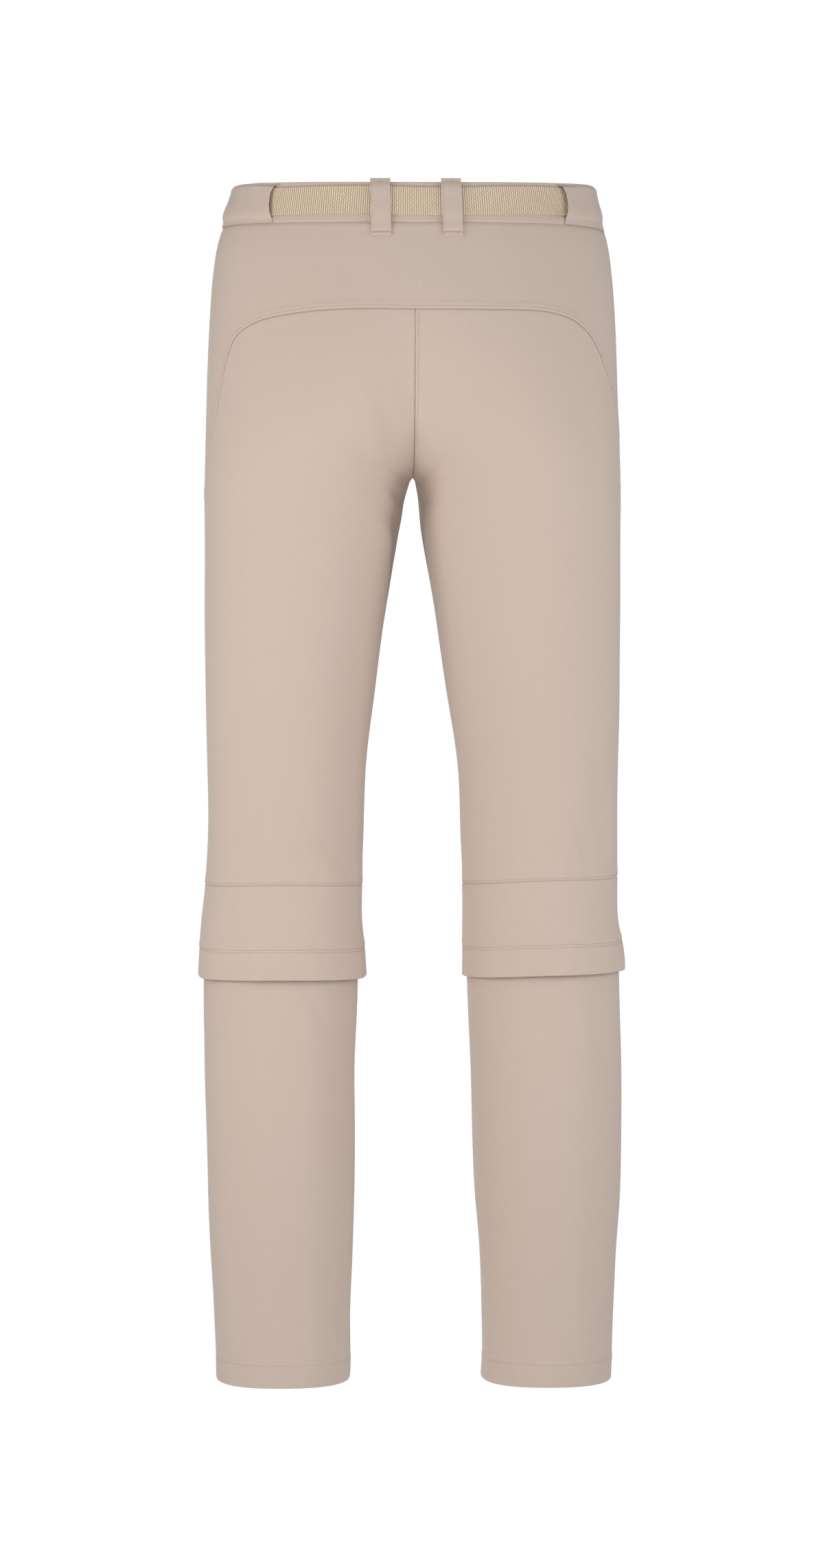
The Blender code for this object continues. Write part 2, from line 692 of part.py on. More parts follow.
def build_trousers():
    """Build every piece."""
    clear_scene()
    collection = bpy.data.collections.new("zip_off_trousers")
    bpy.context.scene.collection.children.link(collection)
    cloth = make_material("cloth", CLOTH_COLOUR, 0.85)
    band_cloth = make_material("waistband_cloth", BAND_COLOUR, 0.85)
    webbing = make_material("webbing", WEBBING_COLOUR, 0.75)
    tape = make_material("zip_tape", TAPE_COLOUR, 0.80)
    plastic = make_material("buckle_plastic", PLASTIC_COLOUR, 0.45)

    build_waistband(band_cloth)
    build_belt(webbing)
    build_buckle(plastic)
    build_yoke(cloth)
    build_fly(cloth)
    for word, side in (("left", LEFT), ("right", RIGHT)):
        build_tunnel(f"belt_tunnel_{word}", side, band_cloth)
        build_loop(f"belt_loop_{word}", side, cloth)
        build_trouser_panel(f"back_{word}", side, "back", yoke_seam, panel_rows(7, 11), cloth)
        build_trouser_panel(f"front_{word}", side, "front", band_seam, panel_rows(9, 11), cloth)
        build_knee_band(f"knee_band_{word}", side, cloth)
        build_zip(f"zip_{word}", side, tape)
        build_lower_panel(f"lower_back_{word}", side, "back", cloth)
        build_lower_panel(f"lower_front_{word}", side, "front", cloth)


build_trousers()
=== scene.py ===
"""Looks of the convertible zip-off trousers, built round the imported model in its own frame.

The camera looks at the back of the garment from +Y. +X is the wearer's left, which is the left of
the picture, and +Z is up. Every piece of cloth is a fine sheet on the same leg tubes as the solid
that it stands for, and gets its seams, creases, stitching and finish here.
"""

import logging
import math
from dataclasses import dataclass, field
from enum import Enum
from typing import Callable, NamedTuple, Sequence

import bmesh
import bpy
import numpy as np
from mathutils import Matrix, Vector


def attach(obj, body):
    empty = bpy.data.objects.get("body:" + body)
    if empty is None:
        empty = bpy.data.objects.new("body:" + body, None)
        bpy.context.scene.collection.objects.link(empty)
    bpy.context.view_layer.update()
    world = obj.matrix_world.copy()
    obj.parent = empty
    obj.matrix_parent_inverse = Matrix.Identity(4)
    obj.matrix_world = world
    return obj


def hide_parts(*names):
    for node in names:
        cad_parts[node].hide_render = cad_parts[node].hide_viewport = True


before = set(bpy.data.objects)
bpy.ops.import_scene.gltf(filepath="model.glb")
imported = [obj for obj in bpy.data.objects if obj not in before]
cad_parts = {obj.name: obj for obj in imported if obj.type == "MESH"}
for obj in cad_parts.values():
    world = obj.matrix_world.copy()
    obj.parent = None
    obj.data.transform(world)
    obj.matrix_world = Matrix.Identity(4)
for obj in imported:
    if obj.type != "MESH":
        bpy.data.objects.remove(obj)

LOG = logging.getLogger("trousers")
Grid = np.ndarray
BODY = "root"
MM = 0.001


class Side(Enum):
    """A leg, by the side of the centre plane on which it stands."""

    LEFT = 1
    RIGHT = -1

    @property
    def word(self) -> str:
        """The side in the names of pieces."""
        return self.name.lower()


class Half(Enum):
    """The back or the front of the garment."""

    BACK = 1
    FRONT = -1

    @property
    def word(self) -> str:
        """The half in the names of pieces."""
        return self.name.lower()


@dataclass(frozen=True)
class Levels:
    """Heights of the seams and edges, and the cloth between them, in metres."""

    band_top: float = 0.0172
    band_seam: float = -0.0170
    crotch: float = -0.2346
    knee_seam: float = -0.5885
    flap_stitch: float = -0.6430
    flap_edge: float = -0.6690
    leg_top: float = -0.6575
    hem: float = -1.0190
    cloth: float = 0.0012
    laid_on: float = 0.0004
    half_gap: float = 0.00006
    crotch_fan: float = 0.0900

    def band_seam_at(self, side: Side, share: Grid) -> Grid:
        """Height of the waistband seam at a share of the way from the centre to the side."""
        drop = {Side.LEFT: 0.0015, Side.RIGHT: 0.0060}[side]
        return self.band_seam - drop * share**3

    def knee_tilt(self, side: Side) -> float:
        """How much higher the seams at the knee are at the outside of the leg."""
        return {Side.LEFT: 0.0, Side.RIGHT: 0.0070}[side]


LEVELS = Levels()


class Section(NamedTuple):
    """One level section of a leg tube, with the columns that the source of the part states."""

    height: float
    half_width: float
    inner: float
    lean: float
    sway: float
    seam_y: float
    back: float
    front: float
    square: float
    back_rise: float
    front_rise: float


UPPER = (
    Section(0.0300, 0.1560, -0.1560, 0.0, 0.0, 0.000, 0.100, 0.098, 2.30, -0.0025, -0.0110),
    Section(0.0100, 0.1571, -0.1571, 0.0, 0.0, 0.000, 0.103, 0.100, 2.30, -0.0025, -0.0105),
    Section(-0.0100, 0.1614, -0.1614, 0.0, 0.0, 0.000, 0.106, 0.102, 2.30, -0.0025, -0.0095),
    Section(-0.0300, 0.1683, -0.1683, 0.0, 0.0, 0.000, 0.110, 0.104, 2.30, -0.0022, -0.0080),
    Section(-0.0600, 0.1732, -0.1700, 0.0, 0.0, 0.000, 0.115, 0.107, 2.30, -0.0015, -0.0060),
    Section(-0.0980, 0.1762, -0.1540, 0.0, 0.0, 0.000, 0.121, 0.109, 2.30, -0.0006, -0.0030),
    Section(-0.1300, 0.1775, -0.1290, 0.0, 0.0, 0.000, 0.124, 0.109, 2.30, 0.0000, -0.0010),
    Section(-0.1700, 0.1788, -0.0850, 0.0, 0.0, 0.000, 0.123, 0.107, 2.30, 0.0000, 0.0000),
    Section(-0.2000, 0.1798, -0.0430, 0.0, 0.0, 0.000, 0.119, 0.105, 2.30, 0.0000, 0.0000),
    Section(-0.2200, 0.1803, -0.0150, 0.0, 0.0, 0.000, 0.114, 0.103, 2.30, 0.0000, 0.0000),
    Section(-0.2346, 0.1807, 0.0002, 0.0, 0.0, 0.000, 0.110, 0.101, 2.30, 0.0000, 0.0000),
    Section(-0.2365, 0.1807, 0.0016, 0.0, 0.0001, 0.000, 0.1095, 0.101, 2.30, 0.0000, 0.0000),
    Section(-0.2430, 0.1809, 0.0036, 0.0, 0.0005, 0.000, 0.108, 0.101, 2.30, 0.0000, 0.0000),
    Section(-0.2800, 0.1811, 0.0092, 0.0, 0.0020, -0.001, 0.102, 0.098, 2.30, 0.0000, 0.0000),
    Section(-0.3500, 0.1811, 0.0214, 0.0, 0.0020, -0.003, 0.094, 0.095, 2.30, 0.0010, 0.0000),
    Section(-0.4200, 0.1805, 0.0316, 0.0, 0.0018, -0.005, 0.087, 0.091, 2.30, 0.0020, 0.0000),
    Section(-0.4900, 0.1792, 0.0408, 0.0, 0.0008, -0.006, 0.080, 0.087, 2.30, 0.0030, 0.0000),
    Section(-0.5500, 0.1788, 0.0427, 0.0, 0.0004, -0.006, 0.076, 0.084, 2.35, 0.0030, 0.0000),
    Section(-0.5885, 0.1800, 0.0439, 0.0008, 0.0, -0.006, 0.075, 0.083, 2.40, 0.0030, 0.0000),
    Section(-0.6200, 0.1820, 0.0440, 0.0022, 0.0, -0.005, 0.077, 0.084, 2.40, 0.0030, 0.0000),
    Section(-0.6430, 0.1848, 0.0428, 0.0010, -0.001, -0.004, 0.080, 0.086, 2.40, 0.0025, 0.0),
    Section(-0.6800, 0.1850, 0.0424, 0.0010, -0.002, -0.003, 0.081, 0.086, 2.40, 0.0020, 0.0),
)
LOWER = (
    Section(-0.6300, 0.1800, 0.0470, 0.0010, 0.0, -0.004, 0.074, 0.080, 2.40, 0.0020, 0.0),
    Section(-0.6840, 0.1812, 0.0482, 0.0008, 0.0, -0.003, 0.075, 0.080, 2.40, 0.0, 0.0),
    Section(-0.7400, 0.1818, 0.0508, 0.0, 0.0, 0.000, 0.077, 0.078, 2.40, 0.0, 0.0),
    Section(-0.8000, 0.1814, 0.0516, -0.0012, -0.0010, 0.003, 0.078, 0.075, 2.40, 0.0, 0.0),
    Section(-0.8600, 0.1798, 0.0530, -0.0015, -0.0022, 0.005, 0.076, 0.073, 2.45, 0.0, 0.0),
    Section(-0.9100, 0.1770, 0.0558, -0.0008, -0.0031, 0.006, 0.074, 0.072, 2.50, 0.0, 0.0),
    Section(-0.9600, 0.1744, 0.0576, -0.0008, -0.0028, 0.007, 0.072, 0.071, 2.50, 0.0, 0.0),
    Section(-1.0190, 0.1726, 0.0578, -0.0008, -0.0022, 0.008, 0.072, 0.072, 2.45, 0.0, 0.0),
    Section(-1.0400, 0.1722, 0.0578, 0.0, 0.0, 0.008, 0.072, 0.072, 2.45, 0.0, 0.0),
)


class SeamPoint(NamedTuple):
    """A point of the yoke seam, at a share of the way from the centre back to the side seam."""

    across: float
    height: float


YOKE_SEAM = {
    Side.LEFT: (
        SeamPoint(0.00, -0.0923),
        SeamPoint(0.21, -0.0922),
        SeamPoint(0.34, -0.0935),
        SeamPoint(0.43, -0.0957),
        SeamPoint(0.52, -0.0989),
        SeamPoint(0.60, -0.1042),
        SeamPoint(0.65, -0.1100),
        SeamPoint(0.69, -0.1180),
        SeamPoint(0.73, -0.1400),
        SeamPoint(0.78, -0.1785),
        SeamPoint(0.84, -0.2110),
        SeamPoint(0.92, -0.2420),
        SeamPoint(1.00, -0.2560),
    ),
    Side.RIGHT: (
        SeamPoint(0.00, -0.0923),
        SeamPoint(0.27, -0.0925),
        SeamPoint(0.38, -0.0926),
        SeamPoint(0.45, -0.0935),
        SeamPoint(0.52, -0.0962),
        SeamPoint(0.60, -0.1030),
        SeamPoint(0.65, -0.1110),
        SeamPoint(0.69, -0.1210),
        SeamPoint(0.73, -0.1345),
        SeamPoint(0.78, -0.1530),
        SeamPoint(0.84, -0.1720),
        SeamPoint(0.92, -0.1930),
        SeamPoint(1.00, -0.2050),
    ),
}


class Fold(NamedTuple):
    """A large soft trough that the solids have too."""

    side: Side
    half: Half
    across: float
    height: float
    tilt: float
    length: float
    width: float
    depth: float


FOLDS = (
    Fold(Side.LEFT, Half.BACK, 0.12, -0.268, 62, 0.120, 0.032, 0.0045),
    Fold(Side.RIGHT, Half.BACK, 0.10, -0.262, 50, 0.080, 0.030, 0.0030),
    Fold(Side.LEFT, Half.BACK, 0.30, -0.560, -12, 0.110, 0.034, 0.0020),
    Fold(Side.RIGHT, Half.BACK, 0.70, -0.545, 70, 0.100, 0.030, 0.0018),
    Fold(Side.LEFT, Half.FRONT, 0.22, -0.262, -50, 0.110, 0.036, 0.0025),
    Fold(Side.RIGHT, Half.FRONT, 0.20, -0.266, -54, 0.110, 0.036, 0.0025),
    Fold(Side.LEFT, Half.FRONT, 0.45, -0.555, 10, 0.120, 0.036, 0.0020),
    Fold(Side.RIGHT, Half.FRONT, 0.42, -0.550, 12, 0.120, 0.036, 0.0020),
)


class Crease(NamedTuple):
    """A small crease: where it lies on the back or front, its slant in degrees, and its size."""

    half: Half
    x: float
    z: float
    tilt: float
    length: float
    width: float
    depth: float


CREASES = (
    Crease(Half.BACK, 0.020, -0.272, 58, 0.070, 0.012, 0.0016),
    Crease(Half.BACK, 0.016, -0.250, 40, 0.050, 0.009, 0.0010),
    Crease(Half.BACK, -0.012, -0.256, -8, 0.024, 0.005, 0.0007),
    Crease(Half.BACK, -0.020, -0.226, -70, 0.060, 0.016, 0.0010),
    Crease(Half.BACK, 0.018, -0.205, 74, 0.090, 0.016, 0.0012),
    Crease(Half.BACK, 0.060, -0.573, 58, 0.050, 0.012, 0.0010),
    Crease(Half.BACK, 0.072, -0.560, 40, 0.060, 0.014, 0.0008),
    Crease(Half.BACK, -0.164, -0.545, 82, 0.080, 0.012, 0.0010),
    Crease(Half.BACK, -0.150, -0.560, 70, 0.060, 0.012, 0.0007),
    Crease(Half.BACK, 0.168, -0.700, -64, 0.070, 0.012, 0.0009),
    Crease(Half.BACK, 0.084, -0.690, 56, 0.060, 0.012, 0.0009),
    Crease(Half.BACK, -0.070, -0.885, 20, 0.050, 0.014, 0.0010),
    Crease(Half.BACK, -0.164, -0.720, 78, 0.090, 0.014, 0.0008),
    Crease(Half.BACK, 0.150, -0.910, 80, 0.110, 0.018, 0.0009),
    Crease(Half.BACK, 0.100, -0.960, 84, 0.110, 0.020, 0.0008),
    Crease(Half.BACK, -0.130, -0.950, 80, 0.120, 0.018, 0.0009),
    Crease(Half.FRONT, 0.030, -0.245, -50, 0.080, 0.014, 0.0014),
    Crease(Half.FRONT, -0.030, -0.248, 50, 0.080, 0.014, 0.0014),
    Crease(Half.FRONT, 0.110, -0.560, 10, 0.080, 0.014, 0.0010),
    Crease(Half.FRONT, -0.105, -0.552, -12, 0.080, 0.014, 0.0010),
    Crease(Half.FRONT, 0.120, -0.900, 80, 0.120, 0.018, 0.0009),
    Crease(Half.FRONT, -0.120, -0.920, 100, 0.120, 0.018, 0.0009),
)


def smooth(low: float, high: float, value: Grid) -> Grid:
    """A soft step from 0 at low to 1 at high."""
    share = np.clip((value - low) / (high - low), 0.0, 1.0)
    return share * share * (3 - 2 * share)


def hill(value: Grid, middle: float, width: Grid | float) -> Grid:
    """A round hill, 1 high at its middle, that falls away over its width."""
    return np.exp(-(((value - middle) / width) ** 2))


@dataclass(frozen=True)
class SeatDip:
    """The soft valley in which the centre back seam lies."""

    depth: float = 0.0100
    half_width: float = 0.030
    half_width_right: float = 0.055
    top: float = -0.070
    deepest: float = -0.190
    bottom: float = -0.300

    def depth_at(self, side: Side, x: Grid, z: Grid) -> Grid:
        """How far the cloth sinks at places on the back of a side."""
        down = smooth(-self.top, -self.deepest, -z) * (1 - smooth(-self.deepest, -self.bottom, -z))
        wide = np.where(side is Side.LEFT, self.half_width, self.half_width_right)
        return self.depth * down * hill(x, 0.0, wide)


SEAT_DIP = SeatDip()


class Curve:
    """Smooth values of every column of a table against its first column."""

    def __init__(self, rows: Sequence[Sequence[float]]) -> None:
        """Work out the slope at each row.

        Args:
            rows: The table, its first column rising or falling all the way.
        """
        table = np.array(rows, float)
        if table[0, 0] > table[-1, 0]:
            table = table[::-1]
        self.keys, self.values = table[:, 0], table[:, 1:]
        gaps = np.diff(self.keys)[:, None]
        rates = np.diff(self.values, axis=0) / gaps
        self.slopes = np.empty_like(self.values)
        self.slopes[0], self.slopes[-1] = rates[0], rates[-1]
        self.slopes[1:-1] = (rates[:-1] * gaps[1:] + rates[1:] * gaps[:-1]) / (
            gaps[:-1] + gaps[1:]
        )

    def at(self, where: Grid) -> Grid:
        """Read the curve.

        Args:
            where: Values of the first column.

        Returns:
            The other columns there, on a new last axis.
        """
        where = np.asarray(where, float)
        index = np.clip(np.searchsorted(self.keys, where) - 1, 0, len(self.keys) - 2)
        span = (self.keys[index + 1] - self.keys[index])[..., None]
        share = (where - self.keys[index])[..., None] / span
        held = np.clip(share, 0.0, 1.0)
        square, cube = held**2, held**3
        first, second = self.values[index], self.values[index + 1]
        before, after = self.slopes[index], self.slopes[index + 1]
        inside = (
            (2 * cube - 3 * square + 1) * first
            + (cube - 2 * square + held) * span * before
            + (3 * square - 2 * cube) * second
            + (cube - square) * span * after
        )
        beyond = (share - held) * span * np.where(share < 0, before, after)
        return inside + beyond


class Surface(NamedTuple):
    """Points of a sheet, the directions out of it, and the side of the centre plane it keeps to.

    grain holds the lengths across that the cloth's own threads have, aside the distances from
    the side seam, and held how firmly the centre seam holds the outer face at its X.
    """

    points: Grid
    normals: Grid
    side: float
    grain: Grid | None = None
    aside: Grid | None = None
    held: Grid | float = 0.0

    def lifted(self, lift: Grid | float, held: Grid | float = 0.0) -> Grid:
        """The points a lift out of the sheet, kept on their side of the centre plane.

        Args:
            lift: Distances out of the sheet.
            held: The shares by which a point keeps its X.

        Returns:
            The moved points.
        """
        shift = self.normals * np.asarray(lift)[..., None]
        shift[..., 0] *= 1 - held
        moved = self.points + shift
        if self.side:
            moved[..., 0] = self.side * np.maximum(self.side * moved[..., 0], 0.0)
        return moved


@dataclass
class LegTube:
    """The tube of cloth round one leg, which runs into its neighbour above the crotch."""

    rows: tuple[Section, ...]
    side: Side
    arc_steps: int = 72
    slope_step: float = 0.0005
    blur: float = 0.016
    straight_below: float = -0.16
    crowded: float = 0.4
    halvings: int = 36
    softened: tuple[float, float] = (-0.96, -0.45)
    held_width: float = 0.004
    held_from: tuple[float, float] = (-0.012, -0.0005)
    dipped: tuple[float, float] = (0.05, 0.6)
    blur_weights: tuple[float, ...] = (0.0625, 0.25, 0.375, 0.25, 0.0625)
    measured: tuple[float, ...] = (
        0.03, 0.0, -0.03, -0.06, -0.09, -0.12, -0.15, -0.18, -0.20, -0.275, -0.30, -0.35, -0.45,
        -0.55, -0.68,
    )
    curve: Curve = field(init=False)
    soft_inner: Curve = field(init=False)
    usual: dict[Half, Curve] = field(init=False, default_factory=dict)

    def __post_init__(self) -> None:
        """Make the curve through the sections, and a softer one for the inner edge."""
        self.curve = Curve(self.rows)
        heights = np.linspace(self.rows[0].height, self.rows[-1].height, 120)
        inner = sum(
            weight * self.curve.at(heights + step * self.blur)[:, 1]
            for step, weight in enumerate(self.blur_weights, -2)
        )
        self.soft_inner = Curve(np.stack((heights, inner), 1))
        if self.rows is UPPER:
            levels = np.array(self.measured)
            for half in Half:
                self.usual[half] = Curve(np.stack((levels, self.length(half, levels)), 1))

    def at(self, height: Grid, angle: Grid) -> Grid:
        """Points of the tube on the left of the centre plane.

        Args:
            height: Heights of the points.
            angle: Angles round the tube, 0 at the side seam and a quarter turn at the back.

        Returns:
            The points, on a new last axis.
        """
        cut = np.moveaxis(self.curve.at(height), -1, 0)
        half_width, inner, lean, sway, seam_y, back, front, square, back_rise, front_rise = cut
        cosine, sine = np.cos(angle), np.sin(angle)
        softer = self.soft_inner.at(height)[..., 0] - inner
        inner = inner + softer * smooth(*self.softened, cosine)
        outer = half_width + self.side.value * lean
        inner = inner + self.side.value * sway
        reach = (np.abs(cosine) ** square + np.abs(sine) ** square) ** (-1 / square)
        behind = sine > 0
        depth, rise = np.where(behind, back, front), np.where(behind, back_rise, front_rise)
        return np.stack(
            (
                (outer + inner + (outer - inner) * reach * cosine) / 2,
                seam_y + depth * reach * sine,
                height + rise * sine**2,
            ),
            -1,
        )

    def normal(self, height: Grid, angle: Grid) -> Grid:
        """The directions out of the tube, at the points that at() gives."""
        step = self.slope_step
        along = self.at(height, angle + step) - self.at(height, angle - step)
        down = self.at(height - step, angle) - self.at(height + step, angle)
        out = np.cross(down, along)
        return out / np.linalg.norm(out, axis=-1, keepdims=True)

    def quarter(self, half: Half, height: Grid) -> tuple[Grid, Grid]:
        """Measure the way from the centre seam or the inseam round to the side seam.

        Args:
            half: The back or front of the tube.
            height: A row of heights.

        Returns:
            Angles on the way and the lengths up to them, a row for each height.
        """
        low, high = np.zeros_like(height), np.full_like(height, math.pi)
        closed = self.at(height, high)[..., 0] >= 0
        for _ in range(self.halvings):
            middle = (low + high) / 2
            beyond = self.at(height, middle)[..., 0] > 0
            low, high = np.where(beyond, middle, low), np.where(beyond, high, middle)
        start = np.where(closed, math.pi, low)
        steps = 1 - np.arange(self.arc_steps + 1) / self.arc_steps
        angles = half.value * start[:, None] * steps
        points = self.at(np.repeat(height[:, None], len(steps), 1), angles)
        gaps = np.linalg.norm(np.diff(points, axis=1), axis=-1)
        return angles, np.concatenate((np.zeros((len(height), 1)), np.cumsum(gaps, 1)), 1)

    def length(self, half: Half, height: Grid | float) -> Grid:
        """The whole way of a quarter at each height."""
        heights, back = np.unique(np.asarray(height, float), return_inverse=True)
        whole = self.quarter(half, heights)[1][:, -1]
        return whole[back].reshape(np.shape(height))

    def run_at_x(self, half: Half, height: Grid, x: float) -> Grid:
        """The way from the centre plane to a distance x beside it, at each height."""
        heights, back = np.unique(np.asarray(height, float), return_inverse=True)
        angles, lengths = self.quarter(half, heights)
        beside = self.at(np.repeat(heights[:, None], angles.shape[1], 1), angles)[..., 0]
        runs = np.array([np.interp(x, row, way) for row, way in zip(beside, lengths)])
        return runs[back].reshape(np.shape(height))

    def pushed_in(self, half: Half, share: Grid, height: Grid, whole: Grid) -> Grid:
        """How far the large folds push the cloth in, at shares of the usual way to the side."""
        pushed = np.zeros_like(height)
        if self.rows is not UPPER:
            return pushed
        for fold in FOLDS:
            if (fold.side, fold.half) != (self.side, half):
                continue
            turn = math.radians(fold.tilt)
            across, up = (share - fold.across) * whole, height - fold.height
            along = across * math.cos(turn) + up * math.sin(turn)
            off = up * math.cos(turn) - across * math.sin(turn)
            pushed += fold.depth * np.exp(
                -((2 * along / fold.length) ** 2) - (2 * off / fold.width) ** 2
            )
        return pushed

    def lay(self, half: Half, height: Grid, share: Grid) -> tuple[Surface, Grid]:
        """Lay cloth on a quarter of the tube.

        Args:
            half: The back or front of the tube.
            height: Heights of the points.
            share: Shares of the way from the centre to the side seam.

        Returns:
            The surface, in the garment's frame, and the lengths up to its points.
        """
        heights, back = np.unique(height.ravel(), return_inverse=True)
        angles, lengths = self.quarter(half, heights)
        angles, lengths = angles[back], lengths[back]
        whole, share = lengths[:, -1], np.clip(share.ravel(), 0.0, 1.0)
        usual = whole
        if self.rows is UPPER:
            usual = self.usual[half].at(heights)[back, 0]
        crowd = 1 - smooth(0.0, self.crowded, share)
        run = whole - (1 - share) * usual - (whole - usual) * crowd
        index = np.clip((lengths < run[:, None]).sum(1) - 1, 0, self.arc_steps - 1)
        row = np.arange(len(run))
        start, end = lengths[row, index], lengths[row, index + 1]
        part = (run - start) / (end - start)
        angle = angles[row, index] + part * (angles[row, index + 1] - angles[row, index])
        level = height.ravel()
        points, normals = self.at(level, angle), self.normal(level, angle)
        held = np.exp(-run / self.held_width) * smooth(*self.held_from, level - LEVELS.crotch)
        pushed = normals * self.pushed_in(half, share, level, usual)[:, None]
        pushed[:, 0] *= 1 - held
        points -= pushed
        if self.rows is UPPER and half is Half.BACK:
            facing = smooth(*self.dipped, normals[:, 1])
            points[:, 1] -= SEAT_DIP.depth_at(self.side, points[:, 0], level) * facing
        turn = np.array((self.side.value, 1.0, 1.0))
        shape = (*height.shape, 3)
        grain = run
        if self.rows is UPPER:
            steady = self.usual[half].at(np.maximum(heights, self.straight_below))[back, 0]
            grain = run + steady - whole
        surface = Surface(
            (points * turn).reshape(shape),
            (normals * turn).reshape(shape),
            self.side.value,
            grain.reshape(height.shape),
            (whole - run).reshape(height.shape),
            held.reshape(height.shape),
        )
        return surface, run.reshape(height.shape)


UPPER_TUBES = {side: LegTube(UPPER, side) for side in Side}
LOWER_TUBES = {side: LegTube(LOWER, side) for side in Side}
SEAM_CURVES = {side: Curve(rows) for side, rows in YOKE_SEAM.items()}


def yoke_seam_at(side: Side, share: Grid) -> tuple[Grid, Grid]:
    """The yoke seam at shares of the way to the side.

    Args:
        side: The leg.
        share: Shares of the way from the centre back seam.

    Returns:
        Its heights, and how much longer it is there than its way across.
    """
    step = 0.01
    curve = SEAM_CURVES[side]
    here = curve.at(share)[..., 0]
    rate = (curve.at(share + step)[..., 0] - curve.at(share - step)[..., 0]) / (2 * step)
    return here, np.hypot(1.0, rate / UPPER_TUBES[side].length(Half.BACK, here))


WAVE_PARTS = ((1.0, 0.5), (0.61, 0.3), (1.73, 0.4), (0.37, 0.15))


def uneven_wave(run: Grid, pitch: float, seed: int) -> Grid:
    """An uneven wave along a seam.

    Args:
        run: Lengths along the seam.
        pitch: The usual distance from crest to crest.
        seed: Chooses the phases.

    Returns:
        Values from about -1 to 1.
    """
    draw = np.random.default_rng(seed)
    wave = np.zeros_like(run)
    for stretch, weight in WAVE_PARTS:
        pitch_here = pitch * stretch * draw.uniform(0.9, 1.1)
        wave += weight * np.sin(2 * math.pi * (run / pitch_here + draw.uniform()))
    return wave


class Ripple(NamedTuple):
    """The unevenness beside a seam: its size, its pitch, how far it reaches, and its seed."""

    size: float
    pitch: float
    reach: float
    seed: int

    def beside(self, run: Grid, distance: Grid, turn: int = 0) -> Grid:
        """The lifts at lengths along the seam and distances from it."""
        wave = uneven_wave(run, self.pitch, self.seed + turn)
        return self.size * wave * np.exp(-distance / self.reach)


YOKE_RIPPLE = Ripple(0.00022, 0.017, 0.009, 3)
KNEE_RIPPLE = Ripple(0.00025, 0.019, 0.010, 7)
WEAR_LARGE, WEAR_SMALL = 0.00045, 0.00022
CREASE_RIDGE, CREASE_RIDGE_AT, CREASE_ENDS = 0.45, 1.7, 1.5


def creased(points: Grid, normals: Grid) -> Grid:
    """How far the small creases and the soft unevenness of worn cloth lift it.

    Args:
        points: Points of the cloth.
        normals: The directions out of it.

    Returns:
        Lifts, mostly below zero.
    """
    x, y, z = np.moveaxis(points, -1, 0)
    lift = WEAR_LARGE * np.sin(31 * x + 9 * z + 1.3) * np.sin(17 * z + 23 * y + 0.4)
    lift += WEAR_SMALL * np.sin(67 * x - 21 * z + 40 * y) * np.sin(39 * z + 2.2)
    for crease in CREASES:
        facing = smooth(-0.1, 0.3, crease.half.value * normals[..., 1])
        turn = math.radians(crease.tilt)
        across, up = x - crease.x, z - crease.z
        along = (across * math.cos(turn) + up * math.sin(turn)) / (crease.length / 2)
        off = (up * math.cos(turn) - across * math.sin(turn)) / (crease.width / 2)
        trough = hill(off, 0.0, 1.0) - CREASE_RIDGE * hill(np.abs(off), CREASE_RIDGE_AT, 1.0)
        lift -= crease.depth * facing * np.exp(-(along**2) * CREASE_ENDS) * trough
    return lift


@dataclass(frozen=True)
class SeamEdge:
    """How cloth lies beside a sewn edge."""

    turn: float = 0.0009
    radius: float = 0.0008
    allowance: float = 0.0070
    raised: float = 0.00016
    stitched_at: tuple[float, ...] = ()
    furrow: float = 0.00030
    furrow_width: float = 0.0006
    fade: float = 0.002

    def lift(self, distance: Grid) -> Grid:
        """How far the cloth is lifted at distances from the edge."""
        lift = -self.turn * hill(distance, 0.0, self.radius)
        lift += self.raised * (1 - smooth(self.allowance, self.allowance + self.fade, distance))
        for line in self.stitched_at:
            lift -= self.furrow * hill(distance, line, self.furrow_width)
        return lift


SIDE_SEAM = SeamEdge(0.0008, 0.0009, 0.0080, 0.00012)

EDGE_STEPS = np.array((0.0, 0.2, 0.45, 0.75, 1.1, 1.5, 1.9, 2.3, 2.8, 3.4, 4.2, 5.3, 6.8)) * MM


def spaced(length: float, step: float, start_fine: bool = True, end_fine: bool = True) -> Grid:
    """Shares along a length, closer together at its sewn or folded ends.

    Args:
        length: The length in metres.
        step: The usual distance between two shares, in metres.
        start_fine: Whether the start has closer shares.
        end_fine: Whether the end has closer shares.

    Returns:
        Shares from 0 to 1.
    """
    start = EDGE_STEPS if start_fine else EDGE_STEPS[:1]
    end = length - (EDGE_STEPS if end_fine else EDGE_STEPS[:1])[::-1]
    count = max(2, round((end[0] - start[-1]) / step))
    middle = np.linspace(start[-1], end[0], count + 1)[1:-1]
    return np.concatenate((start, middle, end)) / length


def linked(name: str, data: bpy.types.ID) -> bpy.types.Object:
    """Put a new object in the scene, and give it back."""
    piece = bpy.data.objects.new(name, data)
    bpy.context.scene.collection.objects.link(piece)
    return piece


def chosen(piece: bpy.types.Object) -> None:
    """Select one piece alone and make it the active one."""
    bpy.ops.object.select_all(action="DESELECT")
    piece.select_set(True)
    bpy.context.view_layer.objects.active = piece


def taken(model: bpy.types.Object) -> tuple[Grid, Grid]:
    """Take the points and the triangles of a small model, and remove it."""
    points = np.array([tuple(corner.co) for corner in model.data.vertices])
    model.data.calc_loop_triangles()
    faces = np.array([tuple(face.vertices) for face in model.data.loop_triangles])
    bpy.data.objects.remove(model)
    return points, faces


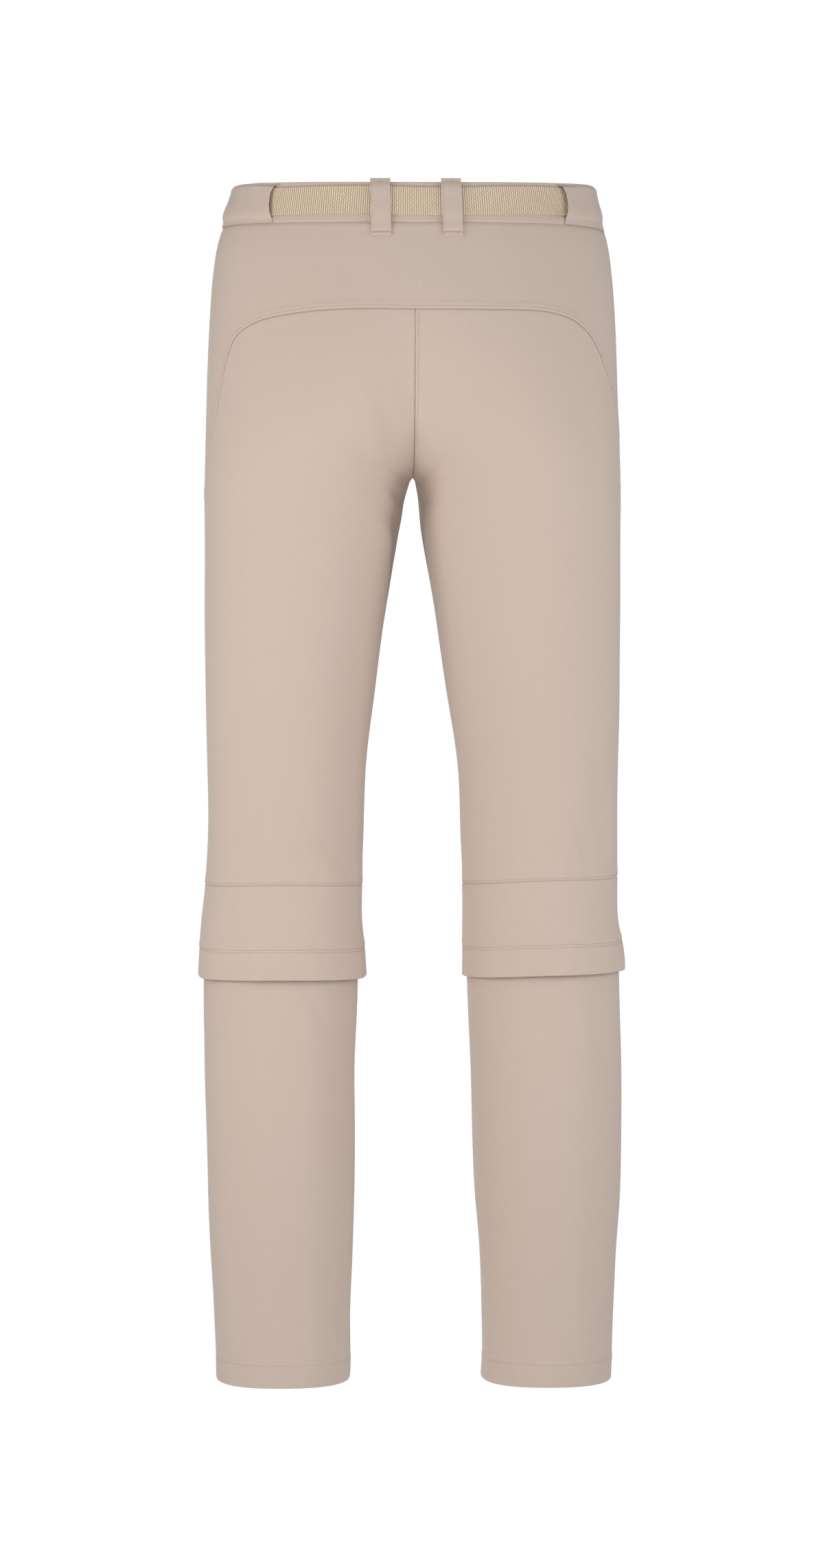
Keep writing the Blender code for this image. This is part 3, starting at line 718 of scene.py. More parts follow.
def repeated(
    name: str,
    model: tuple[Grid, Grid],
    spots: Grid,
    axes: Sequence[Grid],
    material: bpy.types.Material,
) -> bpy.types.Object:
    """Make one piece of a small model set down at many spots.

    Args:
        name: The piece's name.
        model: The model's points and triangles.
        spots: The places.
        axes: The directions of the model's X, Y and Z at each place.
        material: What it is made of.

    Returns:
        The new object.
    """
    points, faces = model
    placed = sum(
        (points[None, :, number, None] * axis[:, None] for number, axis in enumerate(axes)),
        spots[:, None],
    )
    shift = np.arange(len(spots))[:, None, None] * len(points)
    mesh = bpy.data.meshes.new(name)
    mesh.from_pydata(
        placed.reshape(-1, 3).tolist(), [], (faces[None] + shift).reshape(-1, 3).tolist()
    )
    mesh.materials.append(material)
    return linked(name, mesh)


SHARP_FROM = math.radians(55)


@dataclass
class Sheet:
    """A wall of cloth on a grid of points."""

    name: str
    outer: Grid
    inner: Grid
    across: Grid
    down: Grid
    closed: bool = False

    def build(self, material: bpy.types.Material) -> bpy.types.Object:
        """Make the wall's mesh.

        Args:
            material: The cloth.

        Returns:
            The new object, which has its map in metres.
        """
        rows, columns = self.outer.shape[:2]
        count = rows * columns
        index = np.arange(count).reshape(rows, columns)
        ahead = np.roll(index, -1, 1) if self.closed else index[:, 1:]
        here = index if self.closed else index[:, :-1]
        front = np.stack((here[:-1], here[1:], ahead[1:], ahead[:-1]), -1).reshape(-1, 4)
        quads = [front, front[:, ::-1] + count]
        for row, order in ((0, 1), (rows - 1, -1)):
            rim = np.stack(
                (here[row], ahead[row], ahead[row] + count, here[row] + count), -1
            ).reshape(-1, 4)
            quads.append(rim[:, ::order])
        if not self.closed:
            for column, order in ((0, -1), (columns - 1, 1)):
                edge = index[:, column]
                rim = np.stack((edge[:-1], edge[1:], edge[1:] + count, edge[:-1] + count), -1)
                quads.append(rim[:, ::order])
        faces = np.concatenate(quads)
        points = np.concatenate((self.outer.reshape(-1, 3), self.inner.reshape(-1, 3)))
        mesh = bpy.data.meshes.new(self.name)
        mesh.from_pydata(points.tolist(), [], faces.tolist())
        flat = np.stack((self.across, self.down), -1).reshape(-1, 2)
        layer = mesh.uv_layers.new(name="cloth_map")
        corners = faces.ravel() % count
        layer.data.foreach_set("uv", flat[corners].astype(np.float32).ravel())
        mesh.materials.append(material)
        mesh.shade_smooth()
        mesh.set_sharp_from_angle(angle=SHARP_FROM)
        return linked(self.name, mesh)


def outward(piece: bpy.types.Object) -> bpy.types.Object:
    """Turn the faces of a closed piece outwards, and give it back."""
    build = bmesh.new()
    build.from_mesh(piece.data)
    bmesh.ops.recalc_face_normals(build, faces=build.faces)
    if build.calc_volume(signed=True) < 0:
        bmesh.ops.reverse_faces(build, faces=build.faces)
    build.to_mesh(piece.data)
    build.free()
    return piece


def rounded(distance: Grid, thickness: float) -> Grid:
    """How much of a wall's half thickness is missing near a folded edge."""
    radius = thickness / 2
    share = np.clip(distance / radius, 0.0, 1.0)
    return radius * (1 - np.sqrt(1 - (1 - share) ** 2))


def report(piece: bpy.types.Object, replaced: Sequence[str]) -> bpy.types.Object:
    """Fix a piece to the garment and log it.

    Args:
        piece: The finished piece.
        replaced: Names of the solids that it stands for.

    Returns:
        The piece.
    """
    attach(piece, BODY)
    if replaced:
        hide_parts(*replaced)
    LOG.info("%s: %d faces", piece.name, len(piece.data.polygons))
    return piece


Place = Callable[[Grid, Grid], tuple[Surface, Grid]]
Relief = Callable[[Grid, Grid, Grid, Surface], Grid]


@dataclass
class Stitching:
    """Rows of sewn thread, each stitch a small rounded grain half sunk in the cloth."""

    name: str
    length: float = 0.0026
    gap: float = 0.0009
    thread: float = 0.00042
    straight: float = 0.62
    taper: float = 0.19
    tip: float = 0.35
    spots: list[tuple[Grid, Grid, Grid]] = field(default_factory=list)

    def grain(self) -> tuple[Grid, Grid]:
        """Model one stitch along X.

        Returns:
            Its points and its faces, in three corners each.
        """
        bpy.ops.object.select_all(action="DESELECT")
        bpy.ops.mesh.primitive_cylinder_add(
            vertices=6,
            radius=self.thread / 2,
            depth=self.length * self.straight,
            end_fill_type="NGON",
        )
        stitch = bpy.context.object
        bpy.ops.object.mode_set(mode="EDIT")
        bpy.ops.mesh.select_mode(type="FACE")
        for sign in (1, -1):
            bpy.ops.mesh.select_all(action="DESELECT")
            build = bmesh.from_edit_mesh(stitch.data)
            for face in build.faces:
                face.select_set(sign * face.normal.z > 0.9)
            bmesh.update_edit_mesh(stitch.data)
            shift = (0, 0, sign * self.length * self.taper)
            bpy.ops.mesh.extrude_region_move(TRANSFORM_OT_translate={"value": shift})
            bpy.ops.transform.resize(value=(self.tip, self.tip, 1.0))
        bpy.ops.object.mode_set(mode="OBJECT")
        points, faces = taken(stitch)
        return points[:, (2, 1, 0)], faces[:, ::-1]

    def sew(self, points: Grid, normals: Grid, sunk: float = 0.2) -> None:
        """Add stitches along a line on the cloth.

        Args:
            points: Points of the line, closer together than a stitch is long.
            normals: The directions out of the cloth there.
            sunk: The share of the thread that is sunk in the cloth.
        """
        gaps = np.linalg.norm(np.diff(points, axis=0), axis=1)
        way = np.concatenate(([0.0], np.cumsum(gaps)))
        count = int(way[-1] / (self.length + self.gap))
        if count < 1:
            return
        pitch = way[-1] / count
        middles = (np.arange(count) + 0.5) * pitch

        def read(values: Grid, at: Grid) -> Grid:
            """Read values at places along the line."""
            return np.stack([np.interp(at, way, values[:, axis]) for axis in range(3)], -1)

        spots = read(points, middles)
        along = read(points, middles + pitch / 4) - read(points, middles - pitch / 4)
        along /= np.linalg.norm(along, axis=1, keepdims=True)
        out = read(normals, middles)
        out -= along * (out * along).sum(1, keepdims=True)
        out /= np.linalg.norm(out, axis=1, keepdims=True)
        self.spots.append((spots + out * self.thread * (0.5 - sunk), along, out))

    def build(self, material: bpy.types.Material) -> bpy.types.Object:
        """Join all the stitches into one piece.

        Args:
            material: The thread.

        Returns:
            The new object.
        """
        spots, along, out = (np.concatenate(part) for part in zip(*self.spots))
        axes = (along, np.cross(out, along), out)
        piece = repeated(self.name, self.grain(), spots, axes, material)
        piece.data.shade_smooth()
        return piece


@dataclass
class ClothPiece:
    """One cut piece of cloth, with its place on the garment and the way it lies there.

    place(u, v) lays shares across and down on the tube, and gives the lengths across too.
    relief(u, v, run, surface) says how far out the cloth lies, and free(u, v) how far it is to
    a free edge. thickness is its wall, and softness how round its free edges are.
    """

    name: str
    place: Place
    relief: Relief
    thickness: float = LEVELS.cloth
    closed: bool = False
    free: Callable[[Grid, Grid], Grid] | None = None
    softness: float = 1.0

    def surface(self, u: Grid, v: Grid) -> tuple[Surface, Grid, Grid]:
        """The laid surface, its lengths across, and its lifts."""
        surface, run = self.place(u, v)
        return surface, run, self.relief(u, v, run, surface)

    def build(self, u: Grid, v: Grid, material: bpy.types.Material) -> bpy.types.Object:
        """Make the sheet.

        Args:
            u: Shares across, a column each.
            v: Shares down, a row each.
            material: The cloth.

        Returns:
            The new object.
        """
        across, down = np.meshgrid(u, v)
        surface, run, lift = self.surface(across, down)
        missing = np.zeros_like(run)
        if self.free is not None:
            missing = rounded(self.free(across, down), self.thickness) * self.softness
        outer = surface.lifted(lift - missing, surface.held)
        inner = surface.lifted(lift - self.thickness + missing)
        threads = run if surface.grain is None else surface.grain
        return outward(
            Sheet(self.name, outer, inner, threads, outer[..., 2], self.closed).build(material)
        )

    def line(self, u: Grid, v: Grid) -> tuple[Grid, Grid]:
        """Points on the cloth along a line, and the directions out of it.

        Args:
            u: Shares across.
            v: Shares down.

        Returns:
            The points and the directions.
        """
        surface, _, lift = self.surface(u[None], v[None])
        return surface.lifted(lift)[0], surface.normals[0]

    def sew_across(self, stitching: Stitching, u: Grid, v: float) -> None:
        """Sew a row of stitches across at one row code."""
        stitching.sew(*self.line(u, np.full_like(u, v)))

    def sew_down(self, stitching: Stitching, u: float, v: Grid) -> None:
        """Sew a row of stitches down at one share across."""
        stitching.sew(*self.line(np.full_like(v, u), v))


EDGE_REACH = float(EDGE_STEPS[-1])


def banded_rows(*counts: int, power: float = 1.0) -> Grid:
    """Codes for the rows of a piece: 0 to 1 beside its top edge, then a whole number for each of
    its zones, then a last 1 beside its bottom edge.

    Args:
        counts: The number of rows in each zone.
        power: Crowds the last zone's rows towards its top.

    Returns:
        The codes.
    """
    edge = EDGE_STEPS / EDGE_REACH
    rows = [edge]
    for zone, count in enumerate(counts, 1):
        shares = np.arange(1, count + 1) / count
        rows.append(zone + (shares**power if zone == len(counts) > 1 else shares))
    rows.append(len(counts) + 2 - edge[::-1][1:])
    return np.concatenate(rows)


def banded_height(code: Grid, levels: Sequence[Grid], stretch: Grid | float = 1.0) -> Grid:
    """Heights for row codes.

    Args:
        code: The codes from banded_rows().
        levels: Heights of the zones' borders, from the top edge to the bottom edge.
        stretch: How much longer the way down is at the top edge than square to it.

    Returns:
        The heights.
    """
    top, bottom = levels[0], levels[-1]
    inner = [top - EDGE_REACH * stretch, *levels[1:-1], bottom + EDGE_REACH]
    height = top - EDGE_REACH * stretch * np.clip(code, 0, 1)
    for zone, (above, below) in enumerate(zip(inner, inner[1:]), 1):
        height = np.where(code > zone, above + (below - above) * (code - zone), height)
    last = len(inner)
    beside = bottom + EDGE_REACH * (last + 1 - code)
    return np.where(code > last, beside, height)


Lay = Callable[[Enum, Grid], tuple[Surface, Grid]]


def gathered(masks: dict[Enum, Grid], lay: Lay) -> tuple[Surface, Grid]:
    """Join cloth that is laid part by part.

    Args:
        masks: Which points each part has.
        lay: Lays the points of a part.

    Returns:
        The surface and the lengths across.
    """
    shape = next(iter(masks.values())).shape
    points, normals = np.zeros((*shape, 3)), np.zeros((*shape, 3))
    run, grain, aside = (np.zeros(shape) for _ in range(3))
    for part, here in masks.items():
        if here.any():
            surface, run[here] = lay(part, here)
            points[here], normals[here] = surface.points, surface.normals
            grain[here], aside[here] = surface.grain, surface.aside
    return Surface(points, normals, 0.0, grain, aside), run


def halved(behind: Grid, lay: Lay) -> tuple[Surface, Grid]:
    """Lay the back where behind is true and the front elsewhere, threads at even lengths."""
    surface, run = gathered({Half.BACK: behind, Half.FRONT: ~behind}, lay)
    return surface._replace(grain=None), run


def lay_across(half: Half, height: Grid, part: Grid) -> tuple[Surface, Grid]:
    """Lay cloth over both sides of the centre plane, above the crotch.

    Args:
        half: The back or front.
        height: Heights of the points.
        part: Shares of the way to the side, above zero on the wearer's left.

    Returns:
        The surface and the lengths from the centre, below zero on the right.
    """

    def lay(side: Side, here: Grid) -> tuple[Surface, Grid]:
        """Lay the cloth of one side."""
        surface, way = UPPER_TUBES[side].lay(half, height[here], np.abs(part[here]))
        return surface._replace(grain=surface.grain * side.value), way * side.value

    return gathered({side: (part >= 0) == (side is Side.LEFT) for side in Side}, lay)


def lay_ring(height: Grid, share: Grid) -> tuple[Surface, Grid]:
    """Lay cloth round the whole waist.

    The way goes from the centre front by the right side, the back and the left side to the
    centre front again, a quarter for each whole number, and on over its start.

    Args:
        height: Heights of the points.
        share: Shares of the way.

    Returns:
        The surface and the lengths from the centre front.
    """
    behind = (share > 1) & (share < 3)
    part = np.where(behind, share - 2, np.where(share <= 1, -share, 4 - share))
    surface, _ = halved(behind, lambda half, here: lay_across(half, height[here], part[here]))
    return surface, share * float(UPPER_TUBES[Side.LEFT].length(Half.BACK, 0.0))


def lay_sides(side: Side, height: Grid, part: Grid, behind: Grid) -> tuple[Surface, Grid]:
    """Lay cloth over one side of the waist, its back and front at once.

    Args:
        side: The side.
        height: Heights of the points.
        part: Shares of the way from the centre to the side seam.
        behind: Which points are on the back.

    Returns:
        The surface and the lengths from the centre.
    """
    tube = UPPER_TUBES[side]
    return halved(behind, lambda half, here: tube.lay(half, height[here], part[here]))


def ring_shares(length: float, step: float) -> Grid:
    """Shares round a leg, from the inseam by the back and the side to the front, 2 in all."""
    count = max(12, round(length / step))
    return np.arange(count) * 2 / count


def lay_leg_ring(
    tube: LegTube, u: Grid, height_at: Callable[[Grid], Grid]
) -> tuple[Surface, Grid]:
    """Lay cloth all round a leg.

    Args:
        tube: The leg's tube.
        u: Shares round it, 0 to 1 over the back and on to 2 over the front.
        height_at: Gives heights for shares of the way from the inseam to the side seam.

    Returns:
        The surface and the lengths from the inseam.
    """
    behind = np.mod(u, 2.0) <= 1
    share = 1 - np.abs(1 - np.mod(u, 2.0))
    height = height_at(share)
    surface, run = halved(behind, lambda half, here: tube.lay(half, height[here], share[here]))
    around = float(tube.length(Half.BACK, LEVELS.knee_seam))
    return surface, np.where(behind, run, 2 * around - run)


@dataclass(frozen=True)
class WaistForm:
    """How the layers at the waist lie closer to the wearer at the sides and at the mouths."""

    tuck: float = 0.0034
    tuck_right: float = 0.3
    mouth_x: float = 0.1262
    mouth_dip: float = 0.0021
    mouth_width: float = 0.0075
    aside: tuple[float, float] = (0.125, 0.155)
    tucked: tuple[float, float] = (-0.010, 0.016)
    dip_low: tuple[float, float] = (-0.0150, -0.0085)
    dip_high: tuple[float, float] = (0.0125, 0.0160)

    def sunk(self, points: Grid) -> Grid:
        """How far the waistband, the belt and the tunnels sink at points of the waist."""
        x, _, z = np.moveaxis(points, -1, 0)
        aside = smooth(*self.aside, np.abs(x)) * smooth(*self.tucked, z)
        return self.tuck * aside * np.where(x > 0, 1.0, self.tuck_right)

    def dipped(self, points: Grid) -> Grid:
        """How far the waistband and the belt sink more where the belt enters a tunnel."""
        x, y, z = np.moveaxis(points, -1, 0)
        near = hill(np.abs(x), self.mouth_x, self.mouth_width)
        inside = smooth(*self.dip_low, z) * (1 - smooth(*self.dip_high, z))
        return self.mouth_dip * near * inside * (y > 0)


WAIST_FORM = WaistForm()


def worn(surface: Surface) -> Grid:
    """The lift of the small creases on a surface."""
    return creased(surface.points, surface.normals)


@dataclass
class SubAssembly:
    """A part of the garment, with the materials and the threads that it takes."""

    finishes: "Finishes"
    stitching: Stitching
    bartacks: Stitching


@dataclass
class TrouserPanels(SubAssembly):
    """The backs and fronts of the upper legs, from their top seams to the knee seam."""

    width: float = 0.245
    step: float = 0.0034
    upper_rows: int = 46
    lower_rows: int = 104
    inseam_power: float = 1.35
    back_cut: tuple[float, float] = (0.285, 0.510)
    front_cut: tuple[float, float] = (0.270, 0.585)
    seat_seam_right: SeamEdge = SeamEdge(0.0006, 0.0007, 0.0021, 0.00035, (0.0024,), 0.0003)
    seat_seam: SeamEdge = SeamEdge(0.0010, 0.0010, 0.0080, 0.00012)
    yoke_edge: SeamEdge = SeamEdge(0.0011, 0.0009, 0.0060, 0.00010)
    knee_edge: SeamEdge = SeamEdge(0.0007, 0.0008, 0.0060, 0.00020, (0.0022,), 0.00018)
    seat_ripple: Ripple = Ripple(0.00030, 0.016, 0.009, 11)
    fan_from: float = 0.35
    fan_power: float = 1.5
    seen: float = 0.80

    def middle(self, u: Grid) -> Grid:
        """Height of the row that starts at the crotch."""
        share = np.maximum(0.0, (u - self.fan_from) / (1 - self.fan_from))
        return LEVELS.crotch - LEVELS.crotch_fan * share**self.fan_power

    def piece(self, side: Side, half: Half) -> ClothPiece:
        """One panel.

        Args:
            side: The leg.
            half: The back or front.

        Returns:
            The piece, not yet built.
        """
        tube = UPPER_TUBES[side]
        tilt = LEVELS.knee_tilt(side)
        behind_right = (side, half) == (Side.RIGHT, Half.BACK)
        ridge = self.seat_seam_right if behind_right else self.seat_seam

        def borders(u: Grid) -> tuple[Grid, Grid, Grid]:
            """Heights of the top and bottom edges, and the stretch of the top one."""
            if half is Half.BACK:
                top, stretch = yoke_seam_at(side, u)
            else:
                top, stretch = LEVELS.band_seam_at(side, u), np.ones_like(u)
            bottom = LEVELS.knee_seam + tilt * u
            return top - LEVELS.half_gap * stretch, stretch, bottom + LEVELS.half_gap

        def height_of(u: Grid, v: Grid) -> Grid:
            """Heights of the rows."""
            top, stretch, bottom = borders(u)
            power = 1 + np.maximum(0.0, 1 - u / self.fan_from)
            upper = np.clip(v - 1, 0.0, 1.0)
            code = np.where((v > 1) & (v <= 2), 2 - (1 - upper) ** power, v)
            return banded_height(code, (top, self.middle(u), bottom), stretch)

        def place(u: Grid, v: Grid) -> tuple[Surface, Grid]:
            """Lay shares across and down on the tube."""
            return tube.lay(half, height_of(u, v), u)

        def relief(u: Grid, v: Grid, run: Grid, surface: Surface) -> Grid:
            """How far the cloth is lifted there."""
            top, stretch, bottom = borders(u)
            height = height_of(u, v)
            below, over = (top - height) / stretch, height - bottom
            above = height > LEVELS.crotch
            lift = worn(surface) + SIDE_SEAM.lift(surface.aside)
            lift += np.where(above, ridge.lift(run), SIDE_SEAM.lift(run))
            lift += self.yoke_edge.lift(below)
            lift += YOKE_RIPPLE.beside(surface.grain, below, side.value)
            lift += self.knee_edge.lift(over) + KNEE_RIPPLE.beside(run, over, side.value)
            seam = self.seat_ripple.beside(height, run, side.value)
            return lift + np.where(above, seam, 0.0)

        return ClothPiece(f"{half.word}_panel_{side.word}", place, relief)

    def columns(self) -> Grid:
        """Shares across a panel."""
        return spaced(self.width, self.step)

    def rows(self) -> Grid:
        """Row codes down a panel."""
        return banded_rows(self.upper_rows, self.lower_rows, power=self.inseam_power)

    def build(self) -> None:
        """Build the four panels and sew along their edges."""
        for side in Side:
            for half in Half:
                piece = self.piece(side, half)
                cloth = piece.build(self.columns(), self.rows(), self.finishes.cloth)
                report(cloth, [f"{half.word}_{side.word}"])
                code = 4 - self.knee_edge.stitched_at[0] / EDGE_REACH
                piece.sew_across(self.stitching, np.linspace(0.006, 0.994, 240), code)
        beside = self.seat_seam_right.stitched_at[0] / self.width
        seat = self.piece(Side.RIGHT, Half.BACK)
        seat.sew_down(self.stitching, beside, np.linspace(0.3, 1.55, 200))


@dataclass
class Yoke(SubAssembly):
    """The one-piece back yoke between the waistband and the back panels."""

    width: float = 0.250
    step: float = 0.0034
    row_count: int = 34
    bartack: float = -0.80
    cut: tuple[float, float] = (0.530, 0.250)
    band_edge: SeamEdge = SeamEdge(0.0008, 0.0009, 0.0060, 0.00020, (0.0018,), 0.00022)
    seam_edge: SeamEdge = SeamEdge(0.0006, 0.0007, 0.0050, 0.00035, (0.0024,), 0.00022)
    band_ripple: Ripple = Ripple(0.00020, 0.014, 0.008, 5)
    seen: float = 0.42

    def height_of(self, u: Grid, v: Grid) -> Grid:
        """Heights of the rows."""
        heights = np.zeros_like(u)
        for side in Side:
            here = (u >= 0) == (side is Side.LEFT)
            share = np.abs(u[here])
            bottom, stretch = yoke_seam_at(side, share)
            top = LEVELS.band_seam_at(side, share) - LEVELS.half_gap
            code = v[here]
            upper = banded_height(np.minimum(code, 2.0), (top, bottom + EDGE_REACH * (stretch - 1)))
            low = bottom + LEVELS.half_gap * stretch + EDGE_REACH * stretch * (3 - code)
            heights[here] = np.where(code > 2, low, upper)
        return heights

    def piece(self) -> ClothPiece:
        """The yoke, not yet built."""

        def place(u: Grid, v: Grid) -> tuple[Surface, Grid]:
            """Lay shares across and down on the tube."""
            return lay_across(Half.BACK, self.height_of(u, v), u)

        def relief(u: Grid, v: Grid, run: Grid, surface: Surface) -> Grid:
            """How far the cloth is lifted there."""
            height = self.height_of(u, v)
            lift = worn(surface)
            for side in Side:
                here = (u >= 0) == (side is Side.LEFT)
                share, way, level = np.abs(u[here]), np.abs(surface.grain[here]), height[here]
                bottom, stretch = yoke_seam_at(side, share)
                below = LEVELS.band_seam_at(side, share) - level
                over = (level - bottom) / stretch
                more = self.band_edge.lift(below) + self.seam_edge.lift(over)
                more += SIDE_SEAM.lift(surface.aside[here])
                more += YOKE_RIPPLE.beside(way, over, side.value)
                more += self.band_ripple.beside(way, below, side.value)
                lift[here] += more
            return lift

        return ClothPiece("yoke_cloth", place, relief)

    def build(self) -> None:
        """Build the yoke with its two rows of stitches and its bartack."""
        piece = self.piece()
        half = spaced(self.width, self.step, start_fine=False)
        across = np.concatenate((-half[::-1], half[1:]))
        cloth = piece.build(across, banded_rows(self.row_count), self.finishes.cloth)
        report(cloth, ["yoke"])
        ways = np.linspace(-0.994, 0.994, 700)
        piece.sew_across(self.stitching, ways, 3 - self.seam_edge.stitched_at[0] / EDGE_REACH)
        piece.sew_across(self.stitching, ways, self.band_edge.stitched_at[0] / EDGE_REACH)
        piece.sew_down(self.bartacks, self.bartack, np.linspace(2.55, 2.95, 12))


@dataclass
class KneeBands(SubAssembly):
    """The bands below the knee seams, whose free lower edges cover the zips."""

    round_length: float = 0.470
    step: float = 0.0034
    cut: tuple[float, float] = (0.485, 0.110)
    seen: float = 0.75
    seam_edge: SeamEdge = SeamEdge(0.0009, 0.0008, 0.0050, 0.00015)
    furrow: float = 0.00035
    furrow_width: float = 0.0007
    second_row: float = 0.0022
    swell: float = 0.0004
    swell_above: float = 0.0028
    swell_width: float = 0.0016
    stitch_ripple: Ripple = Ripple(0.00030, 0.026, 0.012, 21)
    flare: float = 0.0002
    flare_wave: float = 0.0009
    flare_pitch: float = 0.085

    def piece(self, side: Side) -> ClothPiece:
        """The band of one leg, not yet built."""
        tube, tilt = UPPER_TUBES[side], LEVELS.knee_tilt(side)
        top, bottom = LEVELS.knee_seam - LEVELS.half_gap, LEVELS.flap_edge

        def height_of(share: Grid, v: Grid) -> Grid:
            """Heights of the rows."""
            stitch = np.full_like(share, LEVELS.flap_stitch)
            return banded_height(v, (top + 0 * share, stitch, bottom + 0 * share)) + tilt * share

        def place(u: Grid, v: Grid) -> tuple[Surface, Grid]:
            """Lay shares across and down on the tube."""
            return lay_leg_ring(tube, u, lambda share: height_of(share, v))

        def relief(u: Grid, v: Grid, run: Grid, surface: Surface) -> Grid:
            """How far the cloth is lifted there."""
            share = 1 - np.abs(1 - u)
            height = height_of(share, v) - tilt * share
            below, stitch = LEVELS.knee_seam - height, height - LEVELS.flap_stitch
            lift = worn(surface) + self.seam_edge.lift(below)
            lift += KNEE_RIPPLE.beside(run, below, side.value)
            for row in (0.0, -self.second_row):
                lift -= self.furrow * hill(stitch, row, self.furrow_width)
            lift += self.swell * hill(stitch, self.swell_above, self.swell_width)
            lift += self.stitch_ripple.beside(run, np.abs(stitch), side.value)
            hang = smooth(LEVELS.flap_stitch, LEVELS.flap_edge, height)
            wave = uneven_wave(run, self.flare_pitch, 31 + side.value)
            return lift + hang * (self.flare + self.flare_wave * wave)

        def free(u: Grid, v: Grid) -> Grid:
            """The distance to the nearest free edge."""
            share = 1 - np.abs(1 - u)
            return height_of(share, v) - tilt * share - LEVELS.flap_edge

        return ClothPiece(f"knee_band_cloth_{side.word}", place, relief, closed=True, free=free)

    def build(self) -> None:
        """Build both bands and their double rows of stitches."""
        for side in Side:
            piece = self.piece(side)
            around = ring_shares(self.round_length, self.step)
            cloth = piece.build(around, banded_rows(22, 8), self.finishes.cloth)
            report(cloth, [f"knee_band_{side.word}"])
            for drop in (0.0, self.second_row):
                code = 2.0 + drop / (LEVELS.flap_stitch - LEVELS.flap_edge - EDGE_REACH)
                piece.sew_across(self.stitching, np.linspace(0.0, 2.0, 500), code)


@dataclass
class LowerLegs(SubAssembly):
    """The zipped-on lower legs, each a back and a front from the zip to the hem."""

    width: float = 0.235
    step: float = 0.0034
    row_count: int = 102
    hem_depth: float = 0.0195
    cut: tuple[float, float] = (0.250, 0.400)
    seen: float = 0.87
    furrow: float = 0.00028
    furrow_width: float = 0.0007
    hem_ripple: Ripple = Ripple(0.00030, 0.013, 0.007, 41)
    turned: float = 0.00018
    turned_step: float = 0.0012
    rope: float = 0.00030
    rope_pitch: float = 0.021

    def piece(self, side: Side, half: Half) -> ClothPiece:
        """One panel of a lower leg, not yet built."""
        tube, tilt = LOWER_TUBES[side], LEVELS.knee_tilt(side)

        def height_of(u: Grid, v: Grid) -> Grid:
            """Heights of the rows."""
            top = LEVELS.leg_top + tilt * u
            return banded_height(v, (top, LEVELS.hem + 0 * u))

        def place(u: Grid, v: Grid) -> tuple[Surface, Grid]:
            """Lay shares across and down on the tube."""
            return tube.lay(half, height_of(u, v), u)

        def relief(u: Grid, v: Grid, run: Grid, surface: Surface) -> Grid:
            """How far the cloth is lifted there."""
            over = height_of(u, v) - LEVELS.hem
            line = over - self.hem_depth
            turn = side.value + 3 * half.value
            lift = worn(surface)
            lift += SIDE_SEAM.lift(surface.aside) + SIDE_SEAM.lift(run)
            lift -= self.furrow * hill(line, 0.0, self.furrow_width)
            lift += self.hem_ripple.beside(run, np.abs(line), turn)
            lift += self.turned * (1 - smooth(0.0, self.turned_step, line))
            slant = uneven_wave(run + 0.5 * over, self.rope_pitch, self.hem_ripple.seed + turn + 1)
            inside = (1 - smooth(-0.002, 0.001, line)) * smooth(0.0, 0.006, over)
            return lift + self.rope * slant * inside

        def free(u: Grid, v: Grid) -> Grid:
            """The distance to the nearest free edge."""
            return height_of(u, v) - LEVELS.hem

        return ClothPiece(f"lower_{half.word}_cloth_{side.word}", place, relief, free=free)

    def build(self) -> None:
        """Build the four panels and sew the hems."""
        for side in Side:
            for half in Half:
                piece = self.piece(side, half)
                rows = banded_rows(self.row_count)
                cloth = piece.build(spaced(self.width, self.step), rows, self.finishes.cloth)
                report(cloth, [f"lower_{half.word}_{side.word}"])
                start = LEVELS.leg_top - EDGE_REACH
                down = start - (LEVELS.hem + self.hem_depth)
                whole = start - (LEVELS.hem + EDGE_REACH)
                piece.sew_across(self.stitching, np.linspace(0.004, 0.996, 240), 1 + down / whole)


